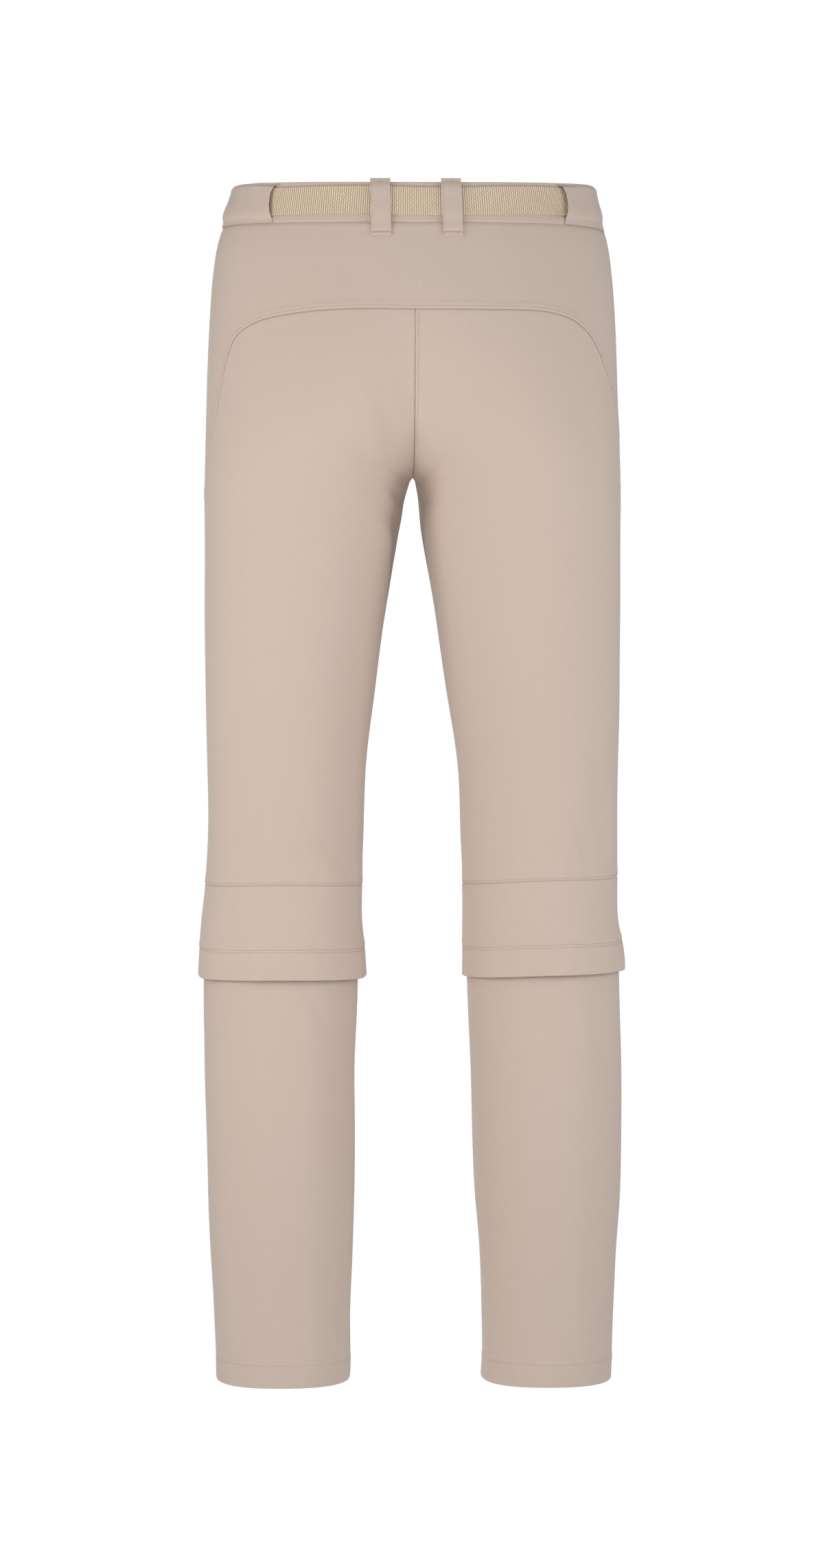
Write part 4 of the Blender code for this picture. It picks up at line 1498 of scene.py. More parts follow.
@dataclass
class Waistband(SubAssembly):
    """The waistband, lapped left over right at the centre front."""

    step: float = 0.0034
    lap: float = 0.0220
    underlap_run: float = 0.0300
    row_count: int = 8
    cut: tuple[float, float] = (0.940, 0.040)
    seen: float = 0.85
    underlap_depth: float = 1.2
    edge_stitch: float = 0.0022
    seam_ripple: Ripple = Ripple(0.00020, 0.016, 0.006, 5)
    seam_edge: SeamEdge = SeamEdge(0.0009, 0.0008, 0.0050, 0.00015)

    def seam_at(self, share: Grid) -> Grid:
        """Height of the lower seam at shares of the way round."""
        part = 1 - np.abs(np.mod(share, 2.0) - 1)
        right, left = (LEVELS.band_seam_at(side, part) for side in (Side.RIGHT, Side.LEFT))
        return np.where(share <= 2, right, left)

    def height_of(self, share: Grid, v: Grid) -> Grid:
        """Heights of the rows, from the seam up to the folded top."""
        seam = self.seam_at(share) + LEVELS.half_gap
        return banded_height(v, (LEVELS.band_top + 0 * share, seam))

    def piece(self) -> ClothPiece:
        """The waistband, not yet built."""
        front = float(UPPER_TUBES[Side.LEFT].length(Half.FRONT, 0.0))
        lap, run_in = self.lap / front, self.underlap_run / front

        def place(u: Grid, v: Grid) -> tuple[Surface, Grid]:
            """Lay shares across and down on the tube."""
            return lay_ring(self.height_of(u, v), u)

        def relief(u: Grid, v: Grid, run: Grid, surface: Surface) -> Grid:
            """How far the cloth is lifted there."""
            over = self.height_of(u, v) - self.seam_at(u)
            under = np.clip((lap + run_in - u) / run_in, 0.0, 1.0)
            lift = -self.underlap_depth * (LEVELS.cloth + LEVELS.laid_on) * under
            lift += self.seam_edge.lift(over) + self.seam_ripple.beside(run, over)
            return lift - WAIST_FORM.sunk(surface.points) - WAIST_FORM.dipped(surface.points)

        def free(u: Grid, v: Grid) -> Grid:
            """The distance to the nearest free edge."""
            ends = np.minimum(u + lap, 4 + lap - u) * front
            return np.minimum(LEVELS.band_top - self.height_of(u, v), ends)

        return ClothPiece("waistband_cloth", place, relief, free=free)

    def build(self) -> None:
        """Build the waistband and the stitches at its front edge."""
        piece = self.piece()
        front = float(UPPER_TUBES[Side.LEFT].length(Half.FRONT, 0.0))
        lap = self.lap / front
        across = spaced(4 * front + 2 * self.lap, self.step) * (4 + 2 * lap) - lap
        cloth = piece.build(across, banded_rows(self.row_count), self.finishes.band)
        report(cloth, ["waistband"])
        end = 4 + lap - self.edge_stitch / front
        piece.sew_down(self.stitching, end, np.linspace(0.4, 2.6, 60))


@dataclass
class Tunnels(SubAssembly):
    """The outer layers of the waistband at the sides, with the belt running behind them."""

    back_x: dict[Side, float] = field(
        default_factory=lambda: {Side.LEFT: 0.1198, Side.RIGHT: 0.1266}
    )
    front_x: float = 0.0950
    mouth_lift: dict[Side, float] = field(
        default_factory=lambda: {Side.LEFT: 0.0012, Side.RIGHT: 0.0006}
    )
    step: float = 0.0028
    row_count: int = 9
    cut: tuple[float, float] = (0.230, 0.040)
    seen: float = 0.8
    bowed: float = 0.12
    sag: float = 0.0004
    sag_pitch: float = 0.030
    mouth_reach: float = 0.009
    furrow: float = 0.00025
    furrow_at: float = 0.0024
    furrow_width: float = 0.0006
    flush: float = 0.00012
    flush_above: tuple[float, float] = (0.0136, 0.0152)
    flush_beside: tuple[float, float] = (0.008, 0.020)
    bartack: float = -0.0032

    raises = Curve(
        (
            (0.0180, 0.0002),
            (0.0163, 0.0008),
            (0.0146, 0.0022),
            (0.0100, 0.0026),
            (0.0020, 0.0026),
            (-0.0080, 0.0026),
            (-0.0113, 0.0022),
            (-0.0140, 0.0008),
            (-0.0180, 0.0002),
        )
    )

    bows = Curve(
        (
            (0.0172, 0.0),
            (0.0138, 0.0),
            (0.0095, 0.0019),
            (0.0030, 0.0027),
            (-0.0090, 0.0006),
            (-0.0170, -0.0026),
        )
    )

    def piece(self, side: Side) -> ClothPiece:
        """The tunnel of one side, not yet built."""
        tube = UPPER_TUBES[side]
        whole = {half: float(tube.length(half, 0.0)) for half in Half}
        back_end = float(tube.run_at_x(Half.BACK, np.zeros(1), self.back_x[side])[0])
        front_end = float(tube.run_at_x(Half.FRONT, np.zeros(1), self.front_x)[0])
        start, end = back_end / whole[Half.BACK], 2 - front_end / whole[Half.FRONT]

        def height_of(u: Grid, v: Grid) -> Grid:
            """Heights of the rows."""
            part = np.clip(1 - np.abs(1 - (start + (end - start) * u)), 0.0, 1.0)
            seam = LEVELS.band_seam_at(side, part) + LEVELS.half_gap
            return banded_height(v, (LEVELS.band_top + 0 * u, seam))

        def place(u: Grid, v: Grid) -> tuple[Surface, Grid]:
            """Lay shares across and down on the tube."""
            height = height_of(u, v)
            share = start + (end - start) * u
            bow = self.bows.at(height)[..., 0]
            share = share + bow / whole[Half.BACK] * (1 - smooth(0.0, self.bowed, u))
            part = np.where(share <= 1, share, 2 - share)
            surface, _ = lay_sides(side, height, part, share <= 1)
            return surface, share * whole[Half.BACK]

        def relief(u: Grid, v: Grid, run: Grid, surface: Surface) -> Grid:
            """How far the cloth is lifted there."""
            height = height_of(u, v)
            lift = self.raises.at(height)[..., 0] + LEVELS.cloth
            lift += worn(surface) * 0.5
            below = height - LEVELS.band_seam
            wave = uneven_wave(run, self.sag_pitch, 51 + side.value)
            lift += self.sag * wave * smooth(0.0, 0.006, below)
            mouth = (u * (end - start)) * whole[Half.BACK]
            open_here = smooth(0.002, 0.012, below) * smooth(0.001, 0.007, LEVELS.band_top - height)
            lift += self.mouth_lift[side] * hill(mouth, 0.0, self.mouth_reach) * open_here
            lift -= self.furrow * hill(mouth, self.furrow_at, self.furrow_width)
            strip = smooth(*self.flush_above, height) * (1 - smooth(*self.flush_beside, mouth))
            lift += (self.flush - lift) * strip
            return lift - WAIST_FORM.sunk(surface.points)

        def free(u: Grid, v: Grid) -> Grid:
            """The distance to the nearest free edge."""
            ends = np.minimum(u, 1 - u) * (end - start) * whole[Half.BACK]
            return np.minimum(ends, LEVELS.band_top - height_of(u, v))

        return ClothPiece(f"belt_tunnel_cloth_{side.word}", place, relief, free=free)

    def build(self) -> None:
        """Build both tunnels and the short bartacks where their openings begin."""
        for side in Side:
            piece = self.piece(side)
            across = spaced(self.cut[0] * 0.9, self.step)
            cloth = piece.build(across, banded_rows(self.row_count), self.finishes.band)
            report(cloth, [f"belt_tunnel_{side.word}"])
            piece.sew_down(self.bartacks, self.bartack / self.cut[0], np.linspace(0.15, 0.60, 24))


@dataclass
class Belt(SubAssembly):
    """The webbing belt, ribbed across, from one end of the buckle round to the other."""

    low: float = -0.0111
    height: float = 0.0245
    thickness: float = 0.0016
    out: float = 0.0004
    end_x: float = 0.0196
    rib: float = 0.00188
    rib_columns: int = 6
    rib_depth: float = 0.00024
    notch: float = 0.00040
    wave: float = 0.0006
    waves: float = 5.2
    wave_start: float = 0.3
    edge_round: float = 0.8
    cut: tuple[float, float] = (0.850, 0.025)

    def build(self) -> None:
        """Build the belt."""
        tube = UPPER_TUBES[Side.LEFT]
        at = np.full(1, self.low)
        whole = float(tube.length(Half.FRONT, self.low))
        start = float(tube.run_at_x(Half.FRONT, at, self.end_x)[0]) / whole
        long = (4 - 2 * start) * whole
        ribs = round(long / self.rib)
        count = ribs * self.rib_columns

        def hump_at(u: Grid) -> Grid:
            """How round a rib is at columns of the sheet."""
            return np.sin(math.pi * np.mod(u, self.rib_columns) / self.rib_columns)

        def place(u: Grid, v: Grid) -> tuple[Surface, Grid]:
            """Lay shares across and down on the tube."""
            way = u / count
            edge = self.notch * (1 - hump_at(u)) + 0 * v
            low, high = self.low + edge, self.low + self.height - edge
            wave = self.wave * np.sin(2 * math.pi * (way * self.waves + self.wave_start))
            height = low + (high - low) * v + wave
            surface, _ = lay_ring(height, start + (4 - 2 * start) * way)
            return surface, u / self.rib_columns * self.rib

        def relief(u: Grid, v: Grid, run: Grid, surface: Surface) -> Grid:
            """How far the cloth is lifted there."""
            lift = self.out + self.thickness + self.rib_depth * (hump_at(u) - 1)
            return lift - WAIST_FORM.sunk(surface.points) - WAIST_FORM.dipped(surface.points)

        def free(u: Grid, v: Grid) -> Grid:
            """The distance to the nearest free edge."""
            return np.minimum(v, 1 - v) * self.height

        rows = np.concatenate(((0.0, 0.012, 0.03), np.linspace(0.07, 0.93, 8), (0.97, 0.988, 1.0)))
        piece = ClothPiece(
            "belt_webbing", place, relief, self.thickness, free=free, softness=self.edge_round
        )
        webbing = piece.build(np.arange(count + 1, dtype=float), rows, self.finishes.webbing)
        report(webbing, ["belt"])


@dataclass
class BeltLoops(SubAssembly):
    """The two loops at the back, sewn down over the belt."""

    x: dict[Side, float] = field(default_factory=lambda: {Side.LEFT: 0.0292, Side.RIGHT: 0.0312})
    slant: dict[Side, float] = field(
        default_factory=lambda: {Side.LEFT: -0.0010, Side.RIGHT: 0.0022}
    )
    width: float = 0.0170
    thickness: float = 0.0016
    top: float = 0.0199
    bottom: float = -0.0290
    seen_length: float = 0.052
    bead: float = 0.00025
    bead_at: float = 0.0008
    bead_width: float = 0.0007
    furrow_at: float = 0.0022
    furrow_width: float = 0.0005
    tack_in: float = 0.0034
    tack_depths: tuple[float, float] = (0.0003, 0.0007)
    tack_width: float = 0.0007
    puff: float = 0.0004
    puff_rise: tuple[float, float] = (0.004, 0.007)
    puff_fall: tuple[float, float] = (0.007, 0.012)

    raises = Curve(
        (
            (0.0210, 0.0004),
            (0.0192, 0.0012),
            (0.0168, 0.0018),
            (0.0145, 0.0026),
            (0.0020, 0.0028),
            (-0.0108, 0.0026),
            (-0.0160, 0.0017),
            (-0.0225, 0.0007),
            (-0.0290, 0.0004),
        )
    )

    def piece(self, side: Side) -> ClothPiece:
        """One loop, not yet built."""
        tube = UPPER_TUBES[side]

        def height_of(v: Grid) -> Grid:
            """Heights of the rows."""
            return banded_height(v, (self.top + 0 * v, self.bottom + 0 * v))

        def place(u: Grid, v: Grid) -> tuple[Surface, Grid]:
            """Lay shares across and down on the tube."""
            height = height_of(v)
            run = tube.run_at_x(Half.BACK, height, self.x[side]) + self.width * (u - 0.5)
            up = (height - self.bottom) / (self.top - self.bottom)
            run = run + self.slant[side] * (0.5 - up)
            share = run / tube.length(Half.BACK, height)
            surface, _ = lay_sides(side, height, share, np.full(u.shape, True))
            return surface, self.width * u

        def relief(u: Grid, v: Grid, run: Grid, surface: Surface) -> Grid:
            """How far the cloth is lifted there."""
            height = height_of(v)
            beside = np.minimum(u, 1 - u) * self.width
            lift = self.raises.at(height)[..., 0] + self.thickness
            lift += self.bead * hill(beside, self.bead_at, self.bead_width)
            lift -= self.bead * hill(beside, self.furrow_at, self.furrow_width)
            lines = (self.top - self.tack_in, self.bottom + self.tack_in)
            for line, depth in zip(lines, self.tack_depths):
                lift -= depth * hill(height, line, self.tack_width)
            over = height - self.bottom
            lift += self.puff * smooth(*self.puff_rise, over) * (1 - smooth(*self.puff_fall, over))
            return lift

        def free(u: Grid, v: Grid) -> Grid:
            """The distance to the nearest free edge."""
            beside = np.minimum(u, 1 - u) * self.width
            height = height_of(v)
            return np.minimum(beside, np.minimum(self.top - height, height - self.bottom))

        return ClothPiece(f"belt_loop_cloth_{side.word}", place, relief, self.thickness, free=free)

    def build(self) -> None:
        """Build both loops with their bartacks."""
        for side in Side:
            piece = self.piece(side)
            across = spaced(self.width, 0.0012)
            cloth = piece.build(across, banded_rows(34), self.finishes.cloth)
            report(cloth, [f"belt_loop_{side.word}"])
            for code in (self.tack_in / EDGE_REACH, 3 - self.tack_in / EDGE_REACH):
                piece.sew_across(self.bartacks, np.linspace(0.10, 0.90, 60), code)
            piece.sew_down(self.bartacks, 0.5, np.linspace(0.30, 0.70, 12))


@dataclass
class Fly(SubAssembly):
    """The covering strip of the fly, laid over both front panels."""

    right_x: float = -0.0070
    left_x: float = 0.0360
    length: float = 0.1500
    curve: float = 0.0400
    gap: float = 0.0003
    sunk: float = 0.0004
    stitched_at: tuple[float, float] = (0.07, 0.92)
    cut: tuple[float, float] = (0.062, 0.160)
    seen: float = 0.62

    def piece(self) -> ClothPiece:
        """The strip, not yet built."""
        quarter = UPPER_TUBES[Side.LEFT]

        def along(u: Grid, v: Grid) -> tuple[Grid, Grid]:
            """The distances across and the heights."""
            x = self.right_x + (self.left_x - self.right_x) * u
            share = np.clip(x / self.left_x, 0.0, 1.0)
            long = self.length - self.curve * (1 - np.sqrt(1 - share**2))
            top = LEVELS.band_seam - self.gap
            return x, banded_height(v, (top + 0 * x, top - long))

        def place(u: Grid, v: Grid) -> tuple[Surface, Grid]:
            """Lay shares across and down on the tube."""
            x, height = along(u, v)
            return lay_across(Half.FRONT, height, x / quarter.length(Half.FRONT, height))

        def relief(u: Grid, v: Grid, run: Grid, surface: Surface) -> Grid:
            """How far the cloth is lifted there."""
            return worn(surface) * 0.5 + LEVELS.laid_on + LEVELS.cloth - self.sunk

        def free(u: Grid, v: Grid) -> Grid:
            """The distance to the nearest free edge."""
            beside = np.minimum(u, 1 - u) * (self.left_x - self.right_x)
            low = along(u, v)[1] - along(u, np.full_like(v, 3.0))[1]
            return np.minimum(beside, low)

        return ClothPiece("fly_cloth", place, relief, free=free)

    def build(self) -> None:
        """Build the strip and its curved stitches."""
        piece = self.piece()
        across = spaced(self.left_x - self.right_x, 0.0022)
        cloth = piece.build(across, banded_rows(52), self.finishes.cloth)
        report(cloth, ["fly"])
        for share in self.stitched_at:
            piece.sew_down(self.stitching, share, np.linspace(0.3, 2.6, 140))


@dataclass
class Zips(SubAssembly):
    """The closed zips that join the lower legs, with tape and teeth under the flaps."""

    top: float = -0.6350
    bottom: float = -0.6720
    thickness: float = 0.0010
    teeth_at: float = -0.6505
    tooth_pitch: float = 0.0024
    tooth: tuple[float, float, float] = (0.0010, 0.0009, 0.0024)
    round_length: float = 0.460
    tooth_edge: float = 0.00025
    tooth_out: float = 0.3
    tooth_apart: float = 0.22
    cut: tuple[float, float] = (0.470, 0.040)
    seen: float = 0.9

    def piece(self, side: Side) -> ClothPiece:
        """The tape of one zip, not yet built."""
        tilt = LEVELS.knee_tilt(side)

        def place(u: Grid, v: Grid) -> tuple[Surface, Grid]:
            """Lay shares across and down on the tube."""
            base = self.top + (self.bottom - self.top) * v
            laid = [
                lay_leg_ring(tubes[side], u, lambda share: base + tilt * share)
                for tubes in (UPPER_TUBES, LOWER_TUBES)
            ]
            blend = np.clip(
                (LEVELS.flap_stitch - base) / (LEVELS.flap_stitch - LEVELS.leg_top), 0.0, 1.0
            )[..., None]
            points, normals = (
                above * (1 - blend) + under * blend
                for above, under in zip(laid[0][0][:2], laid[1][0][:2])
            )
            return Surface(points, normals, 0.0), laid[0][1]

        def relief(u: Grid, v: Grid, run: Grid, surface: Surface) -> Grid:
            """How far the cloth is lifted there."""
            return np.full_like(run, -LEVELS.cloth - LEVELS.laid_on)

        return ClothPiece(f"zip_tape_{side.word}", place, relief, self.thickness, closed=True)

    def teeth(self, side: Side, tape: ClothPiece, material: bpy.types.Material) -> None:
        """Copy one moulded tooth all round both edges of the tapes.

        Args:
            side: The leg.
            tape: The tape that carries them.
            material: The teeth's plastic.
        """
        wide, deep, tall = self.tooth
        bpy.ops.object.select_all(action="DESELECT")
        bpy.ops.mesh.primitive_cube_add(size=1.0)
        model = bpy.context.object
        bpy.ops.object.mode_set(mode="EDIT")
        bpy.ops.mesh.select_all(action="SELECT")
        bpy.ops.transform.resize(value=(wide, tall, deep))
        bpy.ops.mesh.bevel(offset=self.tooth_edge, segments=1, affect="EDGES")
        bpy.ops.object.mode_set(mode="OBJECT")
        grain = taken(model)
        count = round(self.round_length / self.tooth_pitch)
        around = np.arange(2 * count) / count
        level = (self.top - self.teeth_at) / (self.top - self.bottom)
        points, normals = tape.line(around, np.full_like(around, level))
        along = np.roll(points, -1, 0) - np.roll(points, 1, 0)
        along /= np.linalg.norm(along, axis=1, keepdims=True)
        up = np.cross(normals, along)
        turn = np.where(np.arange(2 * count) % 2 == 0, 1.0, -1.0)[:, None]
        spots = points + normals * deep * self.tooth_out + up * (turn * tall * self.tooth_apart)
        axes = (along, up, normals)
        teeth = repeated(f"zip_teeth_{side.word}", grain, spots, axes, material)
        report(outward(teeth), [])

    def build(self) -> None:
        """Build both zips."""
        for side in Side:
            piece = self.piece(side)
            around = ring_shares(self.round_length, 0.004)
            rows = np.linspace(0.0, 1.0, 17)
            tape = piece.build(around, rows, self.finishes.tape)
            report(tape, [f"zip_{side.word}"])
            self.teeth(side, piece, self.finishes.teeth)


@dataclass
class Buckle(SubAssembly):
    """The fastened side-release buckle over the centre front, moulded in two halves."""

    centre: tuple[float, float, float] = (0.0, -0.10076, -0.0078)
    lean: float = 0.105
    low: float = 0.0004
    high: float = 0.0062
    tall: float = 0.0312
    corner: float = 0.0045
    socket: tuple[float, float] = (-0.0237, 0.0056)
    prong: tuple[float, float] = (0.0060, 0.0237)
    window: tuple[float, float, float] = (-0.0135, -0.0015, 0.0052)
    window_corner: float = 0.0022
    slot: tuple[float, float, float] = (0.0176, 0.0208, 0.0258)
    slot_corner: float = 0.0012
    through: float = 0.004
    panel_in: float = 0.0022
    panel_ends: float = 0.0056
    panel_sunk: float = 0.0010
    panel_rise: float = 0.0007
    panel_corner: float = 0.0024
    button_gap: float = 0.0008
    button_drop: float = 0.0006
    button_corner: float = 0.0020
    grips: int = 4
    grip_first: float = 0.0032
    grip_pitch: float = 0.0018
    grip_width: float = 0.0008
    grip_reach: tuple[float, float] = (0.0001, 0.0010)
    grip_drop: tuple[float, float] = (0.0014, 0.0012)

    def block(
        self, low: Sequence[float], high: Sequence[float], corner: float, edge: float = 0.0004
    ) -> bpy.types.Object:
        """A block with round corners, as seen from the front, and softened edges.

        Args:
            low: Its lowest X, its inner side, and its lowest Z.
            high: Its highest X, its outer side, and its highest Z.
            corner: The radius of its corners.
            edge: The width of its softened edges.

        Returns:
            The block.
        """
        size = [above - below for below, above in zip(low, high)]
        middle = [(below + above) / 2 for below, above in zip(low, high)]
        bpy.ops.object.select_all(action="DESELECT")
        bpy.ops.mesh.primitive_cube_add(size=1.0)
        block = bpy.context.object
        bpy.ops.object.mode_set(mode="EDIT")
        bpy.ops.mesh.select_all(action="SELECT")
        bpy.ops.transform.resize(value=size)
        if corner:
            bpy.ops.mesh.select_mode(type="EDGE")
            bpy.ops.mesh.select_all(action="DESELECT")
            build = bmesh.from_edit_mesh(block.data)
            for rim in build.edges:
                ends = [point.co for point in rim.verts]
                rim.select_set(abs(ends[0].y - ends[1].y) > size[1] / 2)
            bmesh.update_edit_mesh(block.data)
            bpy.ops.mesh.bevel(offset=corner, segments=6, affect="EDGES")
            bpy.ops.mesh.select_all(action="SELECT")
        bpy.ops.transform.translate(value=(middle[0], -middle[1], middle[2]))
        bpy.ops.object.mode_set(mode="OBJECT")
        if edge:
            self.change(block, "BEVEL", width=edge, segments=3, angle_limit=math.radians(35))
        return block

    def change(self, piece: bpy.types.Object, kind: str, **settings: object) -> None:
        """Apply a modifier to a piece.

        Args:
            piece: The piece.
            kind: The modifier's Blender type.
            settings: Properties of the modifier.
        """
        step = piece.modifiers.new(kind.lower(), kind)
        for name, value in settings.items():
            setattr(step, name, value)
        chosen(piece)
        bpy.ops.object.modifier_apply(modifier=step.name)

    def join(self, piece: bpy.types.Object, tool: bpy.types.Object, way: str) -> None:
        """Take a tool's form out of a piece or melt it in, by the Boolean's operation."""
        self.change(piece, "BOOLEAN", object=tool, operation=way, solver="EXACT")
        bpy.data.objects.remove(tool)

    def hole(self, wide: Sequence[float], tall: Sequence[float], corner: float) -> bpy.types.Object:
        """A tool that cuts right through a half, between two X and two Z."""
        low, high = self.low - self.through, self.high + self.through
        return self.block((wide[0], low, tall[0]), (wide[1], high, tall[1]), corner, 0)

    def plate(self, ends: tuple[float, float], outer: float) -> bpy.types.Object:
        """One half's plate, with a raised panel and the slot that the webbing passes through.

        Args:
            ends: Its lowest and highest X.
            outer: -1 where the webbing comes in at the lowest X, 1 at the highest.

        Returns:
            The plate.
        """
        half = self.tall / 2
        plate = self.block((ends[0], self.low, -half), (ends[1], self.high, half), self.corner)
        near, far, wide = self.slot
        slot = sorted((outer * near, outer * far))
        hole = self.hole(slot, (-wide / 2, wide / 2), self.slot_corner)
        self.join(plate, hole, "DIFFERENCE")
        rim = ends[0] + self.panel_in if outer > 0 else ends[1] - self.panel_in
        panel = sorted((rim, outer * (near - self.panel_in)))
        rise = self.block(
            (panel[0], self.high - self.panel_sunk, self.panel_ends - half),
            (panel[1], self.high + self.panel_rise, half - self.panel_ends),
            self.panel_corner,
            0.0003,
        )
        self.join(plate, rise, "UNION")
        return plate

    def finish(
        self, piece: bpy.types.Object, name: str, material: bpy.types.Material, replaced: str
    ) -> None:
        """Set a finished half on the waistband.

        Args:
            piece: The half, level round the frame's origin.
            name: Its name.
            material: The plastic.
            replaced: The solid that it stands for.
        """
        chosen(piece)
        bpy.ops.object.mode_set(mode="EDIT")
        bpy.ops.mesh.select_all(action="SELECT")
        bpy.ops.transform.rotate(
            value=math.asin(self.lean), orient_axis="X", center_override=(0.0, 0.0, 0.0)
        )
        bpy.ops.transform.translate(value=self.centre)
        bpy.ops.object.mode_set(mode="OBJECT")
        piece.name = piece.data.name = name
        piece.data.materials.append(material)
        piece.data.shade_smooth()
        piece.data.set_sharp_from_angle(angle=math.radians(30))
        report(piece, [replaced])

    def build(self) -> None:
        """Build both halves."""
        near, far, deep = self.window
        half = self.tall / 2
        socket, prong = self.plate(self.socket, -1.0), self.plate(self.prong, 1.0)
        for sign in (1, -1):
            rims = sorted((sign * (half - deep), sign * (half + self.through)))
            self.join(socket, self.hole((near, far), rims, self.window_corner), "DIFFERENCE")
            inner, proud = half - deep + self.button_drop, half + self.button_drop
            rims = sorted((sign * inner, sign * proud))
            button = self.block(
                (near + self.button_gap, self.low + self.button_gap, rims[0]),
                (far - self.button_gap, self.high - self.button_drop, rims[1]),
                self.button_corner,
            )
            self.join(prong, button, "UNION")
            for step in range(self.grips):
                x = near + self.grip_first + step * self.grip_pitch
                tip = sorted(sign * (half + reach) for reach in self.grip_reach)
                grip = self.block(
                    (x, self.low + self.grip_drop[0], tip[0]),
                    (x + self.grip_width, self.high - self.grip_drop[1], tip[1]),
                    0,
                    0.0002,
                )
                self.join(prong, grip, "UNION")
        self.finish(socket, "side_release_socket", self.finishes.plastic, "buckle_socket")
        self.finish(prong, "side_release_prong", self.finishes.plastic, "buckle_prong")


@dataclass
class Wiring:
    """Adds and joins the nodes of one tree."""

    tree: bpy.types.NodeTree

    def add(
        self, kind: str, sockets: dict[str | int, object] | None = None, **settings: object
    ) -> bpy.types.Node:
        """Add a node.

        Args:
            kind: The node's Blender type.
            sockets: Values or other nodes' outputs for its inputs, by name or place.
            settings: Properties of the node.

        Returns:
            The node.
        """
        node = self.tree.nodes.new(kind)
        for name, value in settings.items():
            setattr(node, name, value)
        self.fill(node, sockets or {})
        return node

    def fill(self, node: bpy.types.Node, sockets: dict[str | int, object]) -> None:
        """Set or join a node's inputs, by name or place."""
        for name, value in sockets.items():
            if isinstance(value, bpy.types.NodeSocket):
                self.tree.links.new(value, node.inputs[name])
            else:
                node.inputs[name].default_value = value

    def math(self, kind: str, first: object, second: object = 0.0) -> bpy.types.NodeSocket:
        """Add a Math node and give its output."""
        node = self.add("ShaderNodeMath", {0: first, 1: second}, operation=kind)
        return node.outputs[0]

    def noise(self, place: bpy.types.NodeSocket, **values: object) -> bpy.types.NodeSocket:
        """Add a noise texture and give its value."""
        return self.add("ShaderNodeTexNoise", {"Vector": place, **values}).outputs[0]

    def spread(
        self,
        value: bpy.types.NodeSocket,
        low: float = 0.0,
        high: float = 1.0,
        source: tuple[float, float] = (0.0, 1.0),
    ) -> bpy.types.NodeSocket:
        """Spread a value over another range.

        Args:
            value: The value.
            low: What the start of its range becomes.
            high: What the end of its range becomes.
            source: Its range.

        Returns:
            The new value.
        """
        ends = {"From Min": source[0], "From Max": source[1], "To Min": low, "To Max": high}
        return self.add("ShaderNodeMapRange", {"Value": value, **ends}).outputs[0]

    def mix(
        self, share: object, first: object, second: object, blend: str = "MIX"
    ) -> bpy.types.NodeSocket:
        """Mix two colours.

        Args:
            share: How much of the second there is.
            first: The first colour, three numbers or an output.
            second: The second one.
            blend: Blender's name of the way that they mix.

        Returns:
            The mixed colour.
        """
        pair = {
            place: (*colour, 1.0) if isinstance(colour, tuple) else colour
            for place, colour in ((6, first), (7, second))
        }
        node = self.add(
            "ShaderNodeMix", {0: share, **pair}, data_type="RGBA", blend_type=blend
        )
        return node.outputs[2]

    def dress(
        self,
        shader: bpy.types.Node,
        colour: bpy.types.NodeSocket,
        rough: bpy.types.NodeSocket,
        height: bpy.types.NodeSocket,
        relief: float,
    ) -> None:
        """Give a shader its colour, roughness and relief.

        Args:
            shader: The shader.
            colour: Its colour.
            rough: Its roughness.
            height: The height of its relief, from 0 to about 1.
            relief: How deep the relief is, in metres.
        """
        bump = self.add("ShaderNodeBump", {"Height": height, "Distance": relief})
        pairs = (("Base Color", colour), ("Roughness", rough), ("Normal", bump.outputs[0]))
        for name, output in pairs:
            self.tree.links.new(output, shader.inputs[name])


def new_material(name: str) -> tuple[bpy.types.Material, Wiring, bpy.types.Node]:
    """Make a material, and give it with its wiring and its shader."""
    material = bpy.data.materials.new(name)
    material.use_nodes = True
    return material, Wiring(material.node_tree), material.node_tree.nodes["Principled BSDF"]


@dataclass(frozen=True)
class Effect:
    """A node group that several finishes use."""

    name: str
    inputs: tuple[tuple[str, str, float | tuple[float, ...]], ...]
    outputs: tuple[tuple[str, str], ...]

    def new(self) -> tuple[bpy.types.NodeTree, Wiring, bpy.types.Node, bpy.types.Node]:
        """Make the empty group with its sockets.

        Returns:
            The group, its wiring, its input node and its output node.
        """
        group = bpy.data.node_groups.new(self.name, "ShaderNodeTree")
        for label, kind, value in self.inputs:
            socket = group.interface.new_socket(
                name=label, in_out="INPUT", socket_type=f"NodeSocket{kind}"
            )
            socket.default_value = value
        for label, kind in self.outputs:
            group.interface.new_socket(
                name=label, in_out="OUTPUT", socket_type=f"NodeSocket{kind}"
            )
        wiring = Wiring(group)
        return group, wiring, wiring.add("NodeGroupInput"), wiring.add("NodeGroupOutput")


